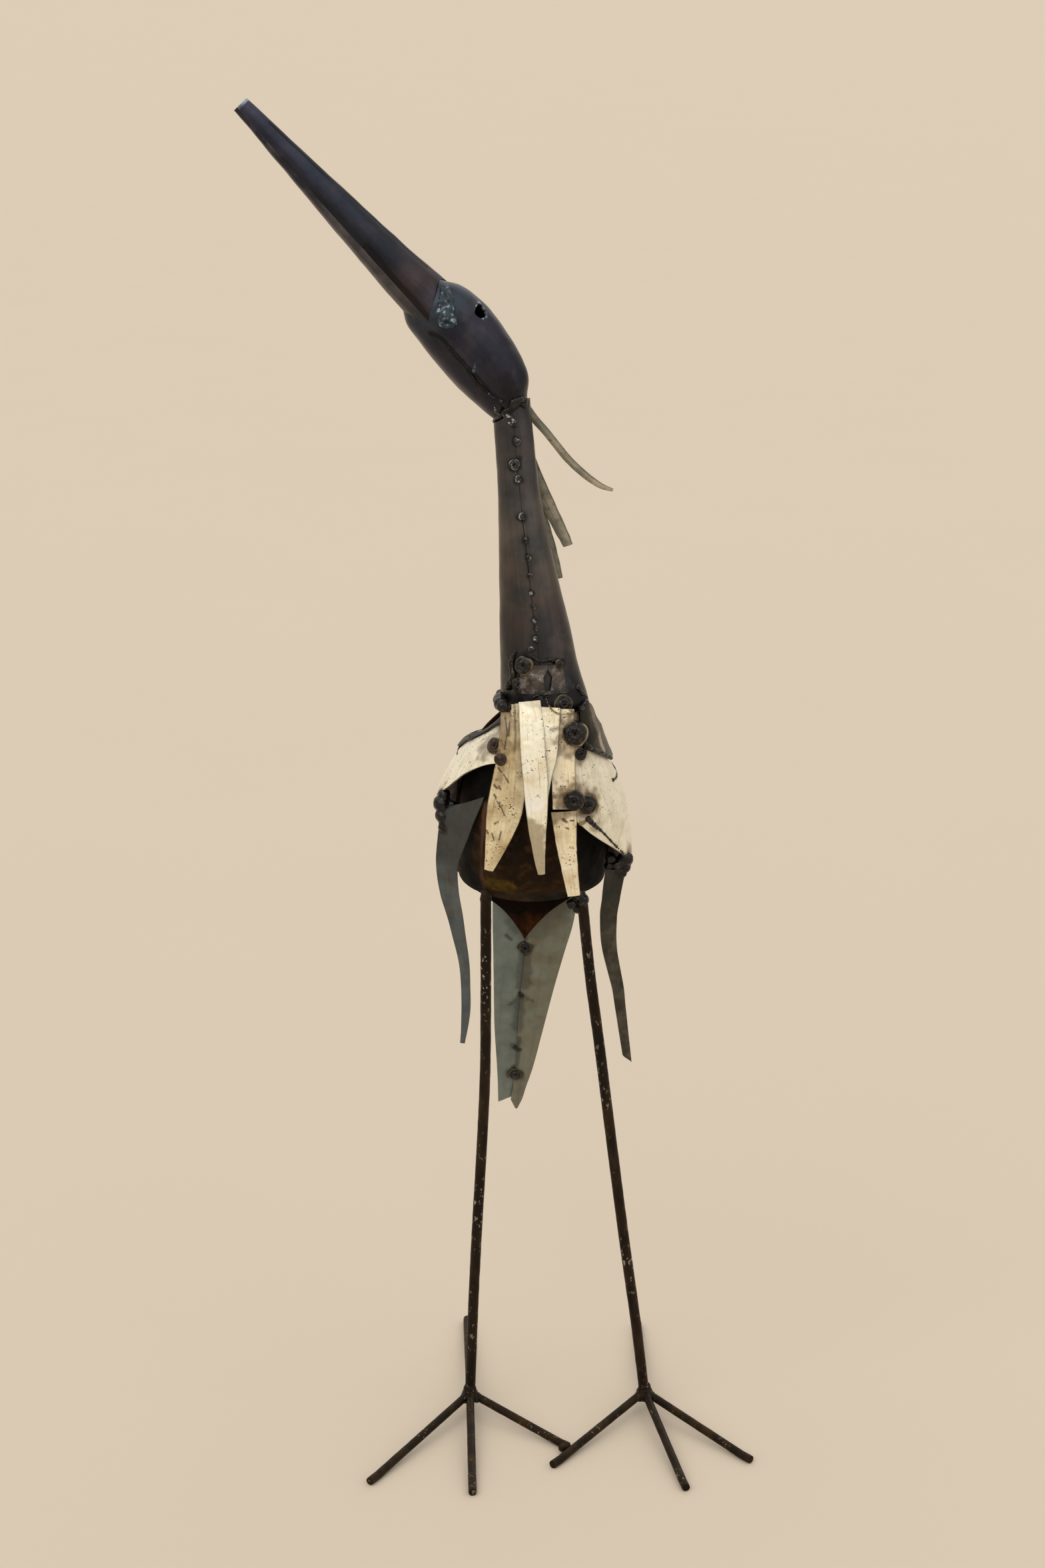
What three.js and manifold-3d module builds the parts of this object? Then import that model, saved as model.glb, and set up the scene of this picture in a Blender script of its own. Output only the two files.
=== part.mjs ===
// A standing heron of welded scrap: bent sheet steel on two legs of round rod, each with four toes.
// Millimetres, +Z up. The bird faces -Y and holds its beak up towards -X.
import * as THREE from "three";
import { mergeVertices } from "three/addons/utils/BufferGeometryUtils.js";
import Module from "manifold-3d";

const wasm = await Module();
wasm.setup();

// Driving dimensions
const SHEET = 1.6;
const GAP = 0.35;
const LEG_ROD = 10;
const TOE_ROD = 8;
const NECK_BASE_HEIGHT = 738;
const HEAD_LENGTH = 127;
const BEAK_LENGTH = 219;
const BEAK_BASE_HEIGHT = 40;
const BEAK_TIP_HEIGHT = 12.8;
const BODY_SHOULDER = 756;
const WING_STAND_OFF = 3.6;

const vector = (x, y, z) => new THREE.Vector3(x, y, z);
const radians = THREE.MathUtils.degToRad;
const lerp = THREE.MathUtils.lerp;
const smoothstep = THREE.MathUtils.smoothstep;

// A smooth curve through [x, y, z] points
const curveThrough = (points) =>
  new THREE.CatmullRomCurve3(points.map((point) => vector(...point)), false, "centripetal");

// Smooth value at t, 0 to 1, through evenly spaced values
function through(values, t) {
  const spans = values.length - 1;
  const place = THREE.MathUtils.clamp(t, 0, 1) * spans;
  const first = Math.min(Math.floor(place), spans - 1);
  const rest = place - first;
  const before = values[Math.max(first - 1, 0)];
  const start = values[first];
  const end = values[first + 1];
  const after = values[Math.min(first + 2, spans)];
  const curve = 2 * before - 5 * start + 4 * end - after + rest * (3 * (start - end) + after - before);
  return start + 0.5 * rest * (end - before + rest * curve);
}

// Smooth value at a place among [place, value] stations
function between(stations, place) {
  const last = stations.length - 1;
  const falling = stations[last][0] < stations[0][0];
  let i = 0;
  while (i < last - 1 && (falling ? place < stations[i + 1][0] : place > stations[i + 1][0])) i += 1;
  const slope = (a, b) => (stations[b][1] - stations[a][1]) / (stations[b][0] - stations[a][0]);
  const [x0, y0] = stations[i];
  const [x1, y1] = stations[i + 1];
  const span = x1 - x0;
  const t = THREE.MathUtils.clamp((place - x0) / span, 0, 1);
  const leave = span * (i > 0 ? slope(i - 1, i + 1) : slope(i, i + 1));
  const arrive = span * (i + 2 <= last ? slope(i, i + 2) : slope(i, i + 1));
  const a = 2 * t ** 3 - 3 * t ** 2 + 1;
  const b = t ** 3 - 2 * t ** 2 + t;
  const c = 3 * t ** 2 - 2 * t ** 3;
  const d = t ** 3 - t ** 2;
  return a * y0 + b * leave + c * y1 + d * arrive;
}

// One closed solid from corners and triangles, turned so that its faces point out
function solid(corners, faces) {
  let volume = 0;
  for (const [a, b, c] of faces) volume += corners[a].dot(corners[b].clone().cross(corners[c]));
  const outward = volume < 0 ? faces.map(([a, b, c]) => [a, c, b]) : faces;
  return new wasm.Manifold(
    new wasm.Mesh({
      numProp: 3,
      vertProperties: Float32Array.from(corners.flatMap((p) => [p.x, p.y, p.z])),
      triVerts: Uint32Array.from(outward.flat()),
    }),
  );
}

// The solid of a three.js geometry
function solidOf(geometry) {
  const bare = new THREE.BufferGeometry().setAttribute("position", geometry.getAttribute("position"));
  bare.setIndex(geometry.index);
  const merged = mergeVertices(bare, 1e-3);
  return new wasm.Manifold(
    new wasm.Mesh({
      numProp: 3,
      vertProperties: merged.attributes.position.array,
      triVerts: new Uint32Array(merged.index.array),
    }),
  );
}

// A sheet of even thickness. face(u, v) is its outer side, with u across and v along it.
// round joins the last row to the first, so that the sheet closes into a tube.
function sheet(face, across, along, { thickness = SHEET, round = false } = {}) {
  const rows = round ? across : across + 1;
  const outer = [];
  for (let j = 0; j <= along; j += 1) {
    for (let i = 0; i < rows; i += 1) outer.push(face(i / across, j / along));
  }
  const index = (i, j) => j * rows + (round ? (i + rows) % rows : THREE.MathUtils.clamp(i, 0, across));
  const corners = outer.map((p) => p.clone());
  for (let j = 0; j <= along; j += 1) {
    for (let i = 0; i < rows; i += 1) {
      const acrossWay = outer[index(i + 1, j)].clone().sub(outer[index(i - 1, j)]);
      const alongWay = outer[index(i, Math.min(j + 1, along))].clone();
      alongWay.sub(outer[index(i, Math.max(j - 1, 0))]);
      const inward = acrossWay.cross(alongWay).normalize().multiplyScalar(-thickness);
      corners.push(outer[index(i, j)].clone().add(inward));
    }
  }
  const under = outer.length;
  const faces = [];
  const quad = (a, b, c, d) => faces.push([a, b, c], [a, c, d]);
  for (let j = 0; j < along; j += 1) {
    for (let i = 0; i < across; i += 1) {
      const [a, b] = [index(i, j), index(i + 1, j)];
      const [c, d] = [index(i + 1, j + 1), index(i, j + 1)];
      quad(a, b, c, d);
      quad(under + a, under + d, under + c, under + b);
    }
    if (!round) {
      quad(index(0, j), index(0, j + 1), under + index(0, j + 1), under + index(0, j));
      const [near, far] = [index(across, j), index(across, j + 1)];
      quad(far, near, under + near, under + far);
    }
  }
  for (let i = 0; i < across; i += 1) {
    quad(index(i + 1, 0), index(i, 0), under + index(i, 0), under + index(i + 1, 0));
    const [near, far] = [index(i, along), index(i + 1, along)];
    quad(near, far, under + far, under + near);
  }
  return solid(corners, faces);
}

// A round rod along a path of points, with radius(t) along it and flat ends
function rod(path, radius, sides, steps) {
  const curve = curveThrough(path);
  const corners = [];
  const faces = [];
  for (let j = 0; j <= steps; j += 1) {
    const t = j / steps;
    const along = curve.getTangent(t);
    const upright = Math.abs(along.z) > 0.8 ? vector(0, 1, 0) : vector(0, 0, 1);
    const side = along.clone().cross(upright).normalize();
    const up = side.clone().cross(along).normalize();
    for (let i = 0; i < sides; i += 1) {
      const turn = ((i + 0.5) / sides) * 2 * Math.PI;
      const spoke = side.clone().multiplyScalar(Math.sin(turn)).addScaledVector(up, Math.cos(turn));
      corners.push(curve.getPoint(t).addScaledVector(spoke, radius(t)));
    }
  }
  for (let j = 0; j < steps; j += 1) {
    for (let i = 0; i < sides; i += 1) {
      const a = j * sides + i;
      const b = j * sides + ((i + 1) % sides);
      faces.push([a, b, b + sides], [a, b + sides, a + sides]);
    }
  }
  for (let i = 1; i < sides - 1; i += 1) {
    const last = steps * sides;
    faces.push([0, i + 1, i], [last, last + i, last + i + 1]);
  }
  return solid(corners, faces);
}

// A weld nugget: a low dome whose foot is sunk a little into the sheet, with its crest along out
function nugget(place, out, radius, { height = 0.6, sides = 7, sink = 1.1 } = {}) {
  const profile = [[0, -sink], [radius, -sink], [radius * 0.9, radius * height * 0.6], [0, radius * height]];
  const dome = new THREE.LatheGeometry(profile.map(([x, y]) => new THREE.Vector2(x, y)), sides);
  const turn = new THREE.Quaternion().setFromUnitVectors(vector(0, 1, 0), out.clone().normalize());
  dome.applyQuaternion(turn);
  dome.translate(place.x, place.y, place.z);
  return solidOf(dome);
}

// A weld lump: a squashed ball that wraps the pieces it joins
function lump(place, radius, height = 1, sides = 8) {
  const ball = new THREE.SphereGeometry(radius, sides, 5);
  ball.rotateX(Math.PI / 2);
  ball.scale(1, 1, height);
  ball.translate(place.x, place.y, place.z);
  return solidOf(ball);
}

const joined = (pieces) => pieces.reduce((sum, piece) => sum.add(piece)).asOriginal();

// A piece with room left round its neighbours; a shard that the cut leaves loose is dropped
function clearOf(piece, neighbours, gap = GAP) {
  let rest = piece;
  for (const neighbour of neighbours) {
    for (const axis of [0, 1, 2]) {
      for (const way of [-gap, gap]) {
        const shift = [0, 0, 0];
        shift[axis] = way;
        rest = rest.subtract(neighbour.translate(shift));
      }
    }
  }
  const bodies = rest.decompose();
  bodies.sort((a, b) => b.volume() - a.volume());
  return bodies[0].asOriginal().simplify(0.05);
}

// Neck: a tapered tube of one rolled sheet, its lap seam down the front
const NECK_TOP = vector(-9, -52, 995.5);
const NECK_BASE = vector(19.5, -66, NECK_BASE_HEIGHT);
const NECK_HALF_WIDTHS = [13.8, 14.9, 16.4, 18.9, 22.1, 26, 29.5, 33, 37.5];
const NECK_MIDDLES = [-9, -6.8, -3.8, -0.5, 3.2, 7.4, 11.3, 15, 19.5];
const NECK_DEPTH = 0.92;
const HEAD_SLOPE = 0.75;

function neckSection(t) {
  const middle = NECK_TOP.clone().lerp(NECK_BASE, t);
  return { middle: middle.setX(through(NECK_MIDDLES, t)), half: through(NECK_HALF_WIDTHS, t) };
}

function neckPoint(turn, t, lift = 0) {
  const { middle, half } = neckSection(t);
  const x = (half + lift) * Math.sin(turn);
  const y = -(half * NECK_DEPTH + lift) * Math.cos(turn);
  const tilt = x * HEAD_SLOPE * Math.max(0, 1 - 4 * t);
  return middle.add(vector(x, y, tilt));
}

// A nugget on the front of the neck at a height, so far to the side of its middle
function neckNugget(height, aside, radius, form = {}) {
  const t = (NECK_TOP.z - height) / (NECK_TOP.z - NECK_BASE.z);
  const turn = Math.asin(aside / neckSection(t).half);
  return nugget(neckPoint(turn, t, 0.8), vector(Math.sin(turn), -Math.cos(turn), 0.12), radius, form);
}

const NECK_SIDES = 16;
const SEAM_STEP = 1.4;
const SEAM_NUGGETS = [966, 948, 921, 883, 852, 824, 804];

function makeNeck() {
  const rolled = (u, v) => {
    const part = (u * NECK_SIDES) / (NECK_SIDES - 1);
    const overlap = SEAM_STEP * smoothstep(part, 0.8, 1);
    return neckPoint(radians(1 + 358 * part), v, overlap);
  };
  const tube = sheet(rolled, NECK_SIDES, 7, { round: true });
  const seam = SEAM_NUGGETS.map((height, i) => {
    return neckNugget(height, (i % 3) - 1, 2.6 + (i % 4) * 0.45, { height: 0.8, sides: 5, sink: 1.9 });
  });
  const base = [
    [784, -14, 8], [764, -21, 7], [785, 17, 4.5], [749, -33, 7.5], [752, 32, 6], [790, -3, 4.5],
  ];
  const cluster = base.map(([height, aside, radius]) => {
    return neckNugget(height, aside, radius, { sink: 2.2, sides: 6 });
  });
  return joined([tube, ...seam, ...cluster]);
}

// Throat patch: a small creased plate tacked to the foot of the neck, with a slot like a spearhead
const PATCH_TOP = 780;
const PATCH_BOTTOM = 755;
const PATCH_LIFT = 2.6;

function makeThroatPatch() {
  const face = (u, v) => {
    const height = lerp(PATCH_TOP, PATCH_BOTTOM, v);
    const t = (NECK_TOP.z - height) / (NECK_TOP.z - NECK_BASE.z);
    const aside = lerp(-13 - 5 * v, 19, u);
    const crease = 1.6 * Math.abs(Math.sin(2 * Math.PI * u + v));
    return neckPoint(Math.asin(aside / neckSection(t).half), t, PATCH_LIFT + crease);
  };
  const outline = new THREE.Shape();
  outline.moveTo(0, 9);
  outline.lineTo(-4, 2);
  outline.lineTo(-2.4, -9);
  outline.lineTo(2.4, -9);
  outline.lineTo(4, 2);
  const slot = new THREE.ExtrudeGeometry(outline, { depth: 30, bevelEnabled: false });
  slot.rotateX(Math.PI / 2);
  slot.translate(22, -92, 767.5);
  return sheet(face, 8, 3, { thickness: 1.2 }).subtract(solidOf(slot));
}

// Head: a crown over a jaw, two halves of an egg that meet along a seam on each side
const HEAD_BACK = vector(-10.9, -52, 993.9);
const HEAD_AXIS = vector(-0.597, -0.015, 0.802).normalize();
const HEAD_RISE = vector(0.802, 0, 0.597);
const CROWN_HEIGHTS = [19, 30.5, 35.5, 38, 39, 39.5, 39, 36, 31, 21];
const JAW_DEPTHS = [14, 17.5, 20.5, 23, 24.6, 25.6, 26, 26, 25.5, 20];
const HEAD_HALF_WIDTHS = [15, 21, 25.5, 28, 29, 29, 28, 26, 23, 18.5];
const SEAM_DROPS = [0, 1, 7, 16, 30, 32];
const EYE_ALONG = 0.68;
const EYES = [{ turn: 60, tilt: -48 }, { turn: 150, tilt: 48 }];
const JAW_INSET = 2.3;

function headPoint(along, turn, inset = 0) {
  const up = Math.sin(turn);
  const height = up > 0 ? through(CROWN_HEIGHTS, along) : through(JAW_DEPTHS, along);
  const middle = HEAD_BACK.clone().addScaledVector(HEAD_AXIS, along * HEAD_LENGTH);
  middle.addScaledVector(HEAD_RISE, (height - inset) * up);
  return middle.add(vector(0, -(through(HEAD_HALF_WIDTHS, along) - inset) * Math.cos(turn), 0));
}

// A teardrop hole for an eye, at its turn round the head, with its point tilted off the head's axis
function eyeHole({ turn, tilt }) {
  const outline = new THREE.Shape();
  outline.moveTo(0, 7.8);
  outline.quadraticCurveTo(-6.6, 0, -5.3, -4.3);
  outline.quadraticCurveTo(0, -10.3, 5.3, -4.3);
  outline.quadraticCurveTo(6.6, 0, 0, 7.8);
  const plug = new THREE.ExtrudeGeometry(outline, { depth: 14, bevelEnabled: false, curveSegments: 2 });
  plug.translate(0, 0, -7);
  const place = headPoint(EYE_ALONG, radians(turn));
  const out = place.clone().sub(HEAD_BACK).addScaledVector(HEAD_AXIS, -EYE_ALONG * HEAD_LENGTH).normalize();
  const lengthways = HEAD_AXIS.clone().addScaledVector(out, -HEAD_AXIS.dot(out)).normalize();
  lengthways.applyAxisAngle(out, radians(tilt));
  const frame = new THREE.Matrix4().makeBasis(out.clone().cross(lengthways).negate(), lengthways, out);
  plug.applyMatrix4(frame.setPosition(place));
  return solidOf(plug);
}

// The front edge of both halves runs back along the sides, where the beak lies over it
const CHEEK = 0.72;

function makeCrown() {
  const face = (u, v) => {
    const along = v * lerp(CHEEK, 1, Math.sin(Math.PI * u) ** 0.6);
    const drop = radians(through(SEAM_DROPS, along));
    return headPoint(along, lerp(-drop, Math.PI + drop, u));
  };
  return EYES.reduce((shell, eye) => shell.subtract(eyeHole(eye)), sheet(face, 10, 9));
}

function makeJaw() {
  const face = (u, v) => {
    const along = v * lerp(CHEEK, 1, Math.sin(Math.PI * u) ** 0.6);
    const drop = radians(through(SEAM_DROPS, along) - 5);
    return headPoint(along, lerp(Math.PI + drop, 2 * Math.PI - drop, u), JAW_INSET * Math.abs(1 - 2 * u));
  };
  return sheet(face, 8, 9);
}

// Beak: two folded blades that start at the head and end in one open squared tip
const BEAK_BASE = vector(-84.6, -53, 1094.2);
const BEAK_AXIS = vector(-0.6795, -0.085, 0.7287).normalize();
const BEAK_RISE = vector(0.731, 0, 0.682);
const MOUTH_LINE = 0.5;
const MOUTH_GAP = 0.6;
const CHEEK_REACH = 0.115;

// Half width of the beak, which spreads over the cheeks behind its own base
const beakHalf = (t) => (t < 0 ? 18 - 58 * t : lerp(18, 6, t));

// Where a blade lies in a cross-section of the beak: up the rise and out to one side
function beakPoint(t, up, aside) {
  const middle = BEAK_BASE.clone().addScaledVector(BEAK_AXIS, t * BEAK_LENGTH);
  return middle.addScaledVector(BEAK_RISE, up).add(vector(0, -aside, 0));
}

// Place along the beak at a point of a blade's grid, with the heights of its ridge and its mouth line there
function beakSection(u, v) {
  const t = lerp(-CHEEK_REACH * (1 - Math.sin(Math.PI * u)), 1, v);
  const top = lerp(BEAK_BASE_HEIGHT / 2 - 0.5, BEAK_TIP_HEIGHT / 2, t);
  return { t, top, mouth: -top * MOUTH_LINE * lerp(1, 1.3, t) };
}

function makeBeakUpper() {
  const face = (u, v) => {
    const { t, top, mouth } = beakSection(u, v);
    const level = (share) => lerp(mouth, top, share);
    const ups = [mouth, level(0.3), level(0.7), top * 0.93, top, level(0.55), mouth];
    const sides = [0.86, 1, 0.72, 0.24, -0.24, -0.9, -0.86];
    return beakPoint(t, through(ups, u), beakHalf(t) * through(sides, u));
  };
  return sheet(face, 10, 5);
}

function makeBeakLower() {
  const face = (u, v) => {
    const { t, mouth } = beakSection(u, v);
    const bottom = -through([BEAK_BASE_HEIGHT / 2, 17.4, 13.8, 10, BEAK_TIP_HEIGHT / 2], t);
    const side = lerp(mouth, bottom, 0.55);
    const ups = [mouth - MOUTH_GAP, side, bottom, side, mouth - MOUTH_GAP];
    const sides = [0.84, 0.66, 0, -0.66, -0.84];
    return beakPoint(t, through(ups, u), beakHalf(t) * through(sides, u));
  };
  return sheet(face, 6, 5);
}

// A narrow strip of sheet along a spine, with its own widths. It faces one way, or turns to another.
// mitre and slant cut its first and its last end off at an angle.
function strip(spine, widths, form = {}) {
  const { facing = vector(0, -1, 0), turned = facing, crown = 0, along = 8, mitre = 0, slant = 0 } = form;
  const curve = curveThrough(spine);
  const face = (u, v) => {
    const t = THREE.MathUtils.clamp(v, 0, 1);
    const tangent = curve.getTangent(t);
    const side = facing.clone().lerp(turned, Math.min(2.5 * t, 1)).cross(tangent).normalize();
    const outward = tangent.clone().cross(side).normalize();
    const offset = (u - 0.5) * through(widths, t);
    const point = curve.getPoint(t).addScaledVector(side, offset);
    point.addScaledVector(outward, crown * (1 - (2 * u - 1) ** 2));
    const cut = slant * Math.max(0, 6 * t - 5) - mitre * Math.max(0, 1 - 6 * t);
    return point.addScaledVector(tangent, offset * cut);
  };
  return sheet(face, 2, along);
}

// Body: level slices by height, each with a middle, a half width, a front and a back
const MIDDLE_X = [
  [760, 19], [740, 22], [715, 19], [700, 13.2], [684, 11], [662, 9.4], [643, 8.6], [600, 8.5], [540, 8],
  [457, 2],
];
const HULL_HALF = [
  [760, 37], [735, 40], [700, 51], [650, 63], [600, 67], [560, 67], [543, 63], [505, 50], [457, 26],
];
const HULL_FRONT = [
  [760, -100], [735, -105], [700, -109], [650, -101], [600, -84], [560, -61], [543, -44], [457, -10],
];
const HULL_BACK = [
  [760, -28], [740, -6], [715, 14], [680, 36], [640, 56], [600, 70], [560, 79], [505, 86], [457, 87],
];
const HULL_MIDDLE = [[760, -65], [735, -58], [700, -42], [650, -18], [600, 0], [543, 12], [457, 24]];

function slicePoint(z, turn, { half, front, back, square = 2, lift = 0 }) {
  const middle = between(HULL_MIDDLE, z);
  const [s, c] = [Math.sin(turn), Math.cos(turn)];
  const depth = c > 0 ? middle - between(front, z) : between(back, z) - middle;
  const bulge = (value) => Math.sign(value) * Math.abs(value) ** (2 / square);
  const x = between(MIDDLE_X, z) + (between(half, z) + lift) * bulge(s);
  return vector(x, middle - (depth + lift) * bulge(c), z);
}

const hullPoint = (z, turn, lift = 0) =>
  slicePoint(z, turn, { half: HULL_HALF, front: HULL_FRONT, back: HULL_BACK, lift });

// Belly: the domed front, open below
const BELLY_TOP = 736;
const BELLY_TOP_FALL = 36;
const BELLY_RIM = 546;

function makeBelly() {
  const face = (u, v) => {
    const turn = radians(lerp(-98, 98, u));
    const rim = BELLY_RIM + 8 * Math.sin(turn) ** 2;
    const top = BELLY_TOP - BELLY_TOP_FALL * Math.sin(turn) ** 4;
    return hullPoint(lerp(top, rim, v), turn);
  };
  return sheet(face, 14, 7);
}

// Back: a leaf-shaped dish whose point runs out below the belly
const BACK_EDGE = [[80, 588], [95, 560], [115, 530], [135, 508], [150, 492], [165, 474], [180, 457]];
const BACK_LIFT = 3.4;
const BACK_SIDE_TOP = 690;

function makeBack() {
  const face = (u, v) => {
    const degrees = lerp(82, 278, u);
    const fromFront = degrees <= 180 ? degrees : 360 - degrees;
    const low = between(BACK_EDGE, fromFront);
    const high = lerp(BACK_SIDE_TOP, BODY_SHOULDER, smoothstep(fromFront, 112, 168));
    return hullPoint(lerp(high, low, v), radians(degrees), BACK_LIFT);
  };
  return sheet(face, 14, 7);
}

// Wings: bent plates that stand off the body and end in a welded tip on each side
const WING_HALF = [
  [760, 34], [745, 35], [727, 39], [715, 46], [700, 55], [684, 63], [662, 72], [643, 81], [620, 87],
  [574, 92], [556, 93],
];
const LEFT_WING_HALF = [
  [760, 34], [745, 35], [727, 39], [715, 46], [700, 56], [684, 66], [662, 77], [643, 85.5], [620, 90],
];
const WING_FRONT = [[760, -98], [740, -104], [700, -109], [641, -107], [602, -90], [579, -70], [556, -60]];
const WING_BACK = [[760, -20], [740, 4], [715, 24], [680, 46], [640, 66], [600, 80], [556, 90]];
const WING_TOP = 738;
const TOP_FALL = 50;
const WING_END = 148;

// Height of a plate's upper edge, which falls away behind the neck
const topEdge = (front, degrees) => front - TOP_FALL * smoothstep(degrees, 60, 112);
const LEFT_HEM = [[22, 694], [40, 689], [58, 676], [72, 657], [82, 646], [115, 614], [148, 606]];
const RIGHT_HEM = [[21, 641], [33, 622], [50, 602], [68, 583], [84, 574], [115, 548], [148, 556]];

function wingPoint(z, turn, lift = 0) {
  const half = turn < 0 ? LEFT_WING_HALF : WING_HALF;
  return slicePoint(z, turn, { half, front: WING_FRONT, back: WING_BACK, square: 2.6, lift });
}

function wingPlate(side, hem, frontTop, frontLow) {
  return (u, v) => {
    const degrees = lerp(lerp(frontTop, frontLow, v), WING_END, u);
    const low = between(hem, degrees);
    return wingPoint(lerp(topEdge(WING_TOP, degrees), low, v), side * radians(degrees));
  };
}

function makeWing(side) {
  const plate = side < 0 ? wingPlate(-1, LEFT_HEM, 44, 22) : wingPlate(1, RIGHT_HEM, 31, 21);
  const tips = side < 0
    ? [[-70.5, -43, 646, 6], [-72.5, -43, 637.5, 8.8], [-72, -44, 626, 7.5], [-71, -45, 616, 6]]
    : [[94, -30, 580, 8.2], [86.5, -32, 576, 6], [90.5, -30, 567, 6]];
  const lumps = tips.map(([x, y, z, radius]) => lump(vector(x, y, z), radius, 1, 6));
  return joined([sheet(plate, 11, 6), ...lumps]);
}

// Shoulders: a second plate over the root of each wing, a narrow strip on the left
const SHOULDERS = {
  left: {
    top: 736,
    start: 50,
    hem: [[50, 729], [66, 724], [76, 716], [90, 697], [100, 684], [115, 676], [150, 672]],
  },
  right: { top: 744, start: 38, hem: [[38, 706], [62, 694], [84, 681], [110, 670], [150, 668]] },
};

function makeShoulder(side) {
  const { top, start, hem } = side < 0 ? SHOULDERS.left : SHOULDERS.right;
  const face = (u, v) => {
    const degrees = lerp(start, 150, u);
    const low = between(hem, degrees);
    return wingPoint(lerp(topEdge(top, degrees), low, v), side * radians(degrees), WING_STAND_OFF);
  };
  return sheet(face, 9, 4);
}

// Chest feathers: cut strips hung from the foot of the neck
const chestFeather = (spine, widths, crown = 1.2) => strip(spine, widths, { crown, along: 7 });

const makeChestMiddle = () =>
  chestFeather(
    [
      [6, -105.5, 750], [8, -113, 728], [9.5, -118, 705], [11.5, -118.5, 680], [12.7, -116, 650],
      [14, -111, 620], [16.8, -105, 592],
    ],
    [19, 21, 22, 22, 18.5, 12.5, 6.3],
  );
const makeChestLeft = () =>
  chestFeather(
    [
      [-11, -100, 746], [-10, -106.5, 728], [-10, -109, 700], [-12, -109, 680], [-16, -107, 650],
      [-23, -101, 619], [-30, -94, 592],
    ],
    [16, 19, 25, 29, 31, 20, 8],
  );
const makeChestBehind = () =>
  chestFeather(
    [[23, -107, 745], [22, -112, 728], [21, -114.5, 705], [20, -115, 685], [20, -114, 662]],
    [20, 20.5, 19, 12, 5],
    0.6,
  );
const makeChestRightUpper = () =>
  chestFeather(
    [[35, -102, 742], [35, -107.5, 725], [35.5, -110, 700], [36, -110, 675], [36.5, -108, 653]],
    [20, 21, 21, 21, 20],
    0.8,
  );
const makeChestRightLower = () =>
  chestFeather(
    [[36.5, -104.5, 650], [38.5, -100, 622], [42, -93, 592], [46, -86, 565]],
    [23.5, 19, 15, 11.8],
    0.8,
  );

// Plumes: long curved strips at the head, the neck and the wing tips
const makeCrest = () =>
  strip(
    [
      [1, -49, 1001], [10.5, -46, 988], [24.5, -43, 971], [39.3, -39, 952], [55.5, -35, 936],
      [69, -31, 926], [79, -28, 922],
    ],
    [8, 7.5, 7, 7, 6.5, 5, 2],
    { facing: vector(-0.35, -0.9, -0.25), crown: 0.6, along: 10 },
  );
const makeNeckPlumeUpper = () =>
  strip(
    [[2, -37, 962], [13.5, -36, 930], [26, -33, 903], [35, -30, 884], [40.5, -28, 872]],
    [11, 13, 12, 10.5, 8.6],
    { facing: vector(-0.3, -0.95, 0), crown: 0.7 },
  );
const makeNeckPlumeLower = () =>
  strip(
    [[9, -31, 918], [18, -29, 893], [26, -28, 868], [33, -27, 842]],
    [10, 10.5, 9, 6],
    { facing: vector(-0.3, -0.95, 0), crown: 0.6 },
  );
const makeWingPlumeLeft = () =>
  strip(
    [
      [-51.5, -63, 644], [-58, -57, 627], [-63.5, -48, 605], [-68.4, -41, 579], [-66.5, -37, 550],
      [-60, -35, 518], [-54.5, -35, 487], [-52.5, -35, 460], [-53, -35, 430], [-57, -35, 401],
    ],
    [36, 35, 28, 20.5, 17, 13.2, 10, 8.6, 7.2, 2],
    { facing: vector(-0.75, -0.66, 0), turned: vector(-0.1, -1, 0), crown: 1.2, along: 14, mitre: 1.3 },
  );
const makeWingPlumeRight = () =>
  strip(
    [
      [85, -32, 571], [81, -31, 545], [79, -30, 525], [79, -30, 503], [83, -30, 478], [88, -30, 455],
      [91.5, -30, 428], [97.4, -30, 384],
    ],
    [19, 17, 16, 14.5, 12.5, 11, 9.5, 7.5],
    { facing: vector(0.2, -1, 0), crown: 1.2, along: 14, slant: -0.5 },
  );

// Tail: two long leaves laid edge to edge and tacked together down the middle
const TAIL_MIDDLE = curveThrough([
  [6.8, 96, 500], [4.7, 98, 472], [2.7, 103, 445], [-1, 118, 400], [-4.5, 142, 345], [-7.1, 170, 290],
  [-11, 194, 246],
]);
const TAIL_FOLD = 0.12;
const RIGHT_TIP_DIP = 39.6;
const LEFT_TIP_RISE = 2;
const LEFT_TIP_SLANT = 5;

function tailLeaf(side, widths, tipLift) {
  const face = (u, v) => {
    const reach = 0.5 + u * through(widths, v);
    const lift = tipLift(u) * Math.max(0, 10 * v - 9);
    return TAIL_MIDDLE.getPoint(v).add(vector(side * reach, -reach * TAIL_FOLD, lift));
  };
  return sheet(face, 2, 9);
}

const TAIL_TACKS = [[0.338, 6], [0.54, 2.6], [0.746, 3.2], [0.87, 6]];

function makeTail(side) {
  if (side > 0) {
    return tailLeaf(1, [46, 43.5, 38.5, 31.8, 24.4, 16.4, 8.5], (u) => -RIGHT_TIP_DIP * u * (1 - u));
  }
  const leaf = tailLeaf(-1, [35, 33, 30.6, 26.6, 22.7, 18, 13], (u) => LEFT_TIP_RISE - LEFT_TIP_SLANT * u);
  const forward = vector(0, -1, -0.5);
  const tacks = TAIL_TACKS.map(([t, radius]) => {
    return nugget(TAIL_MIDDLE.getPoint(t), forward, radius, { sink: 0.9 });
  });
  return joined([leaf, ...tacks]);
}

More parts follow.
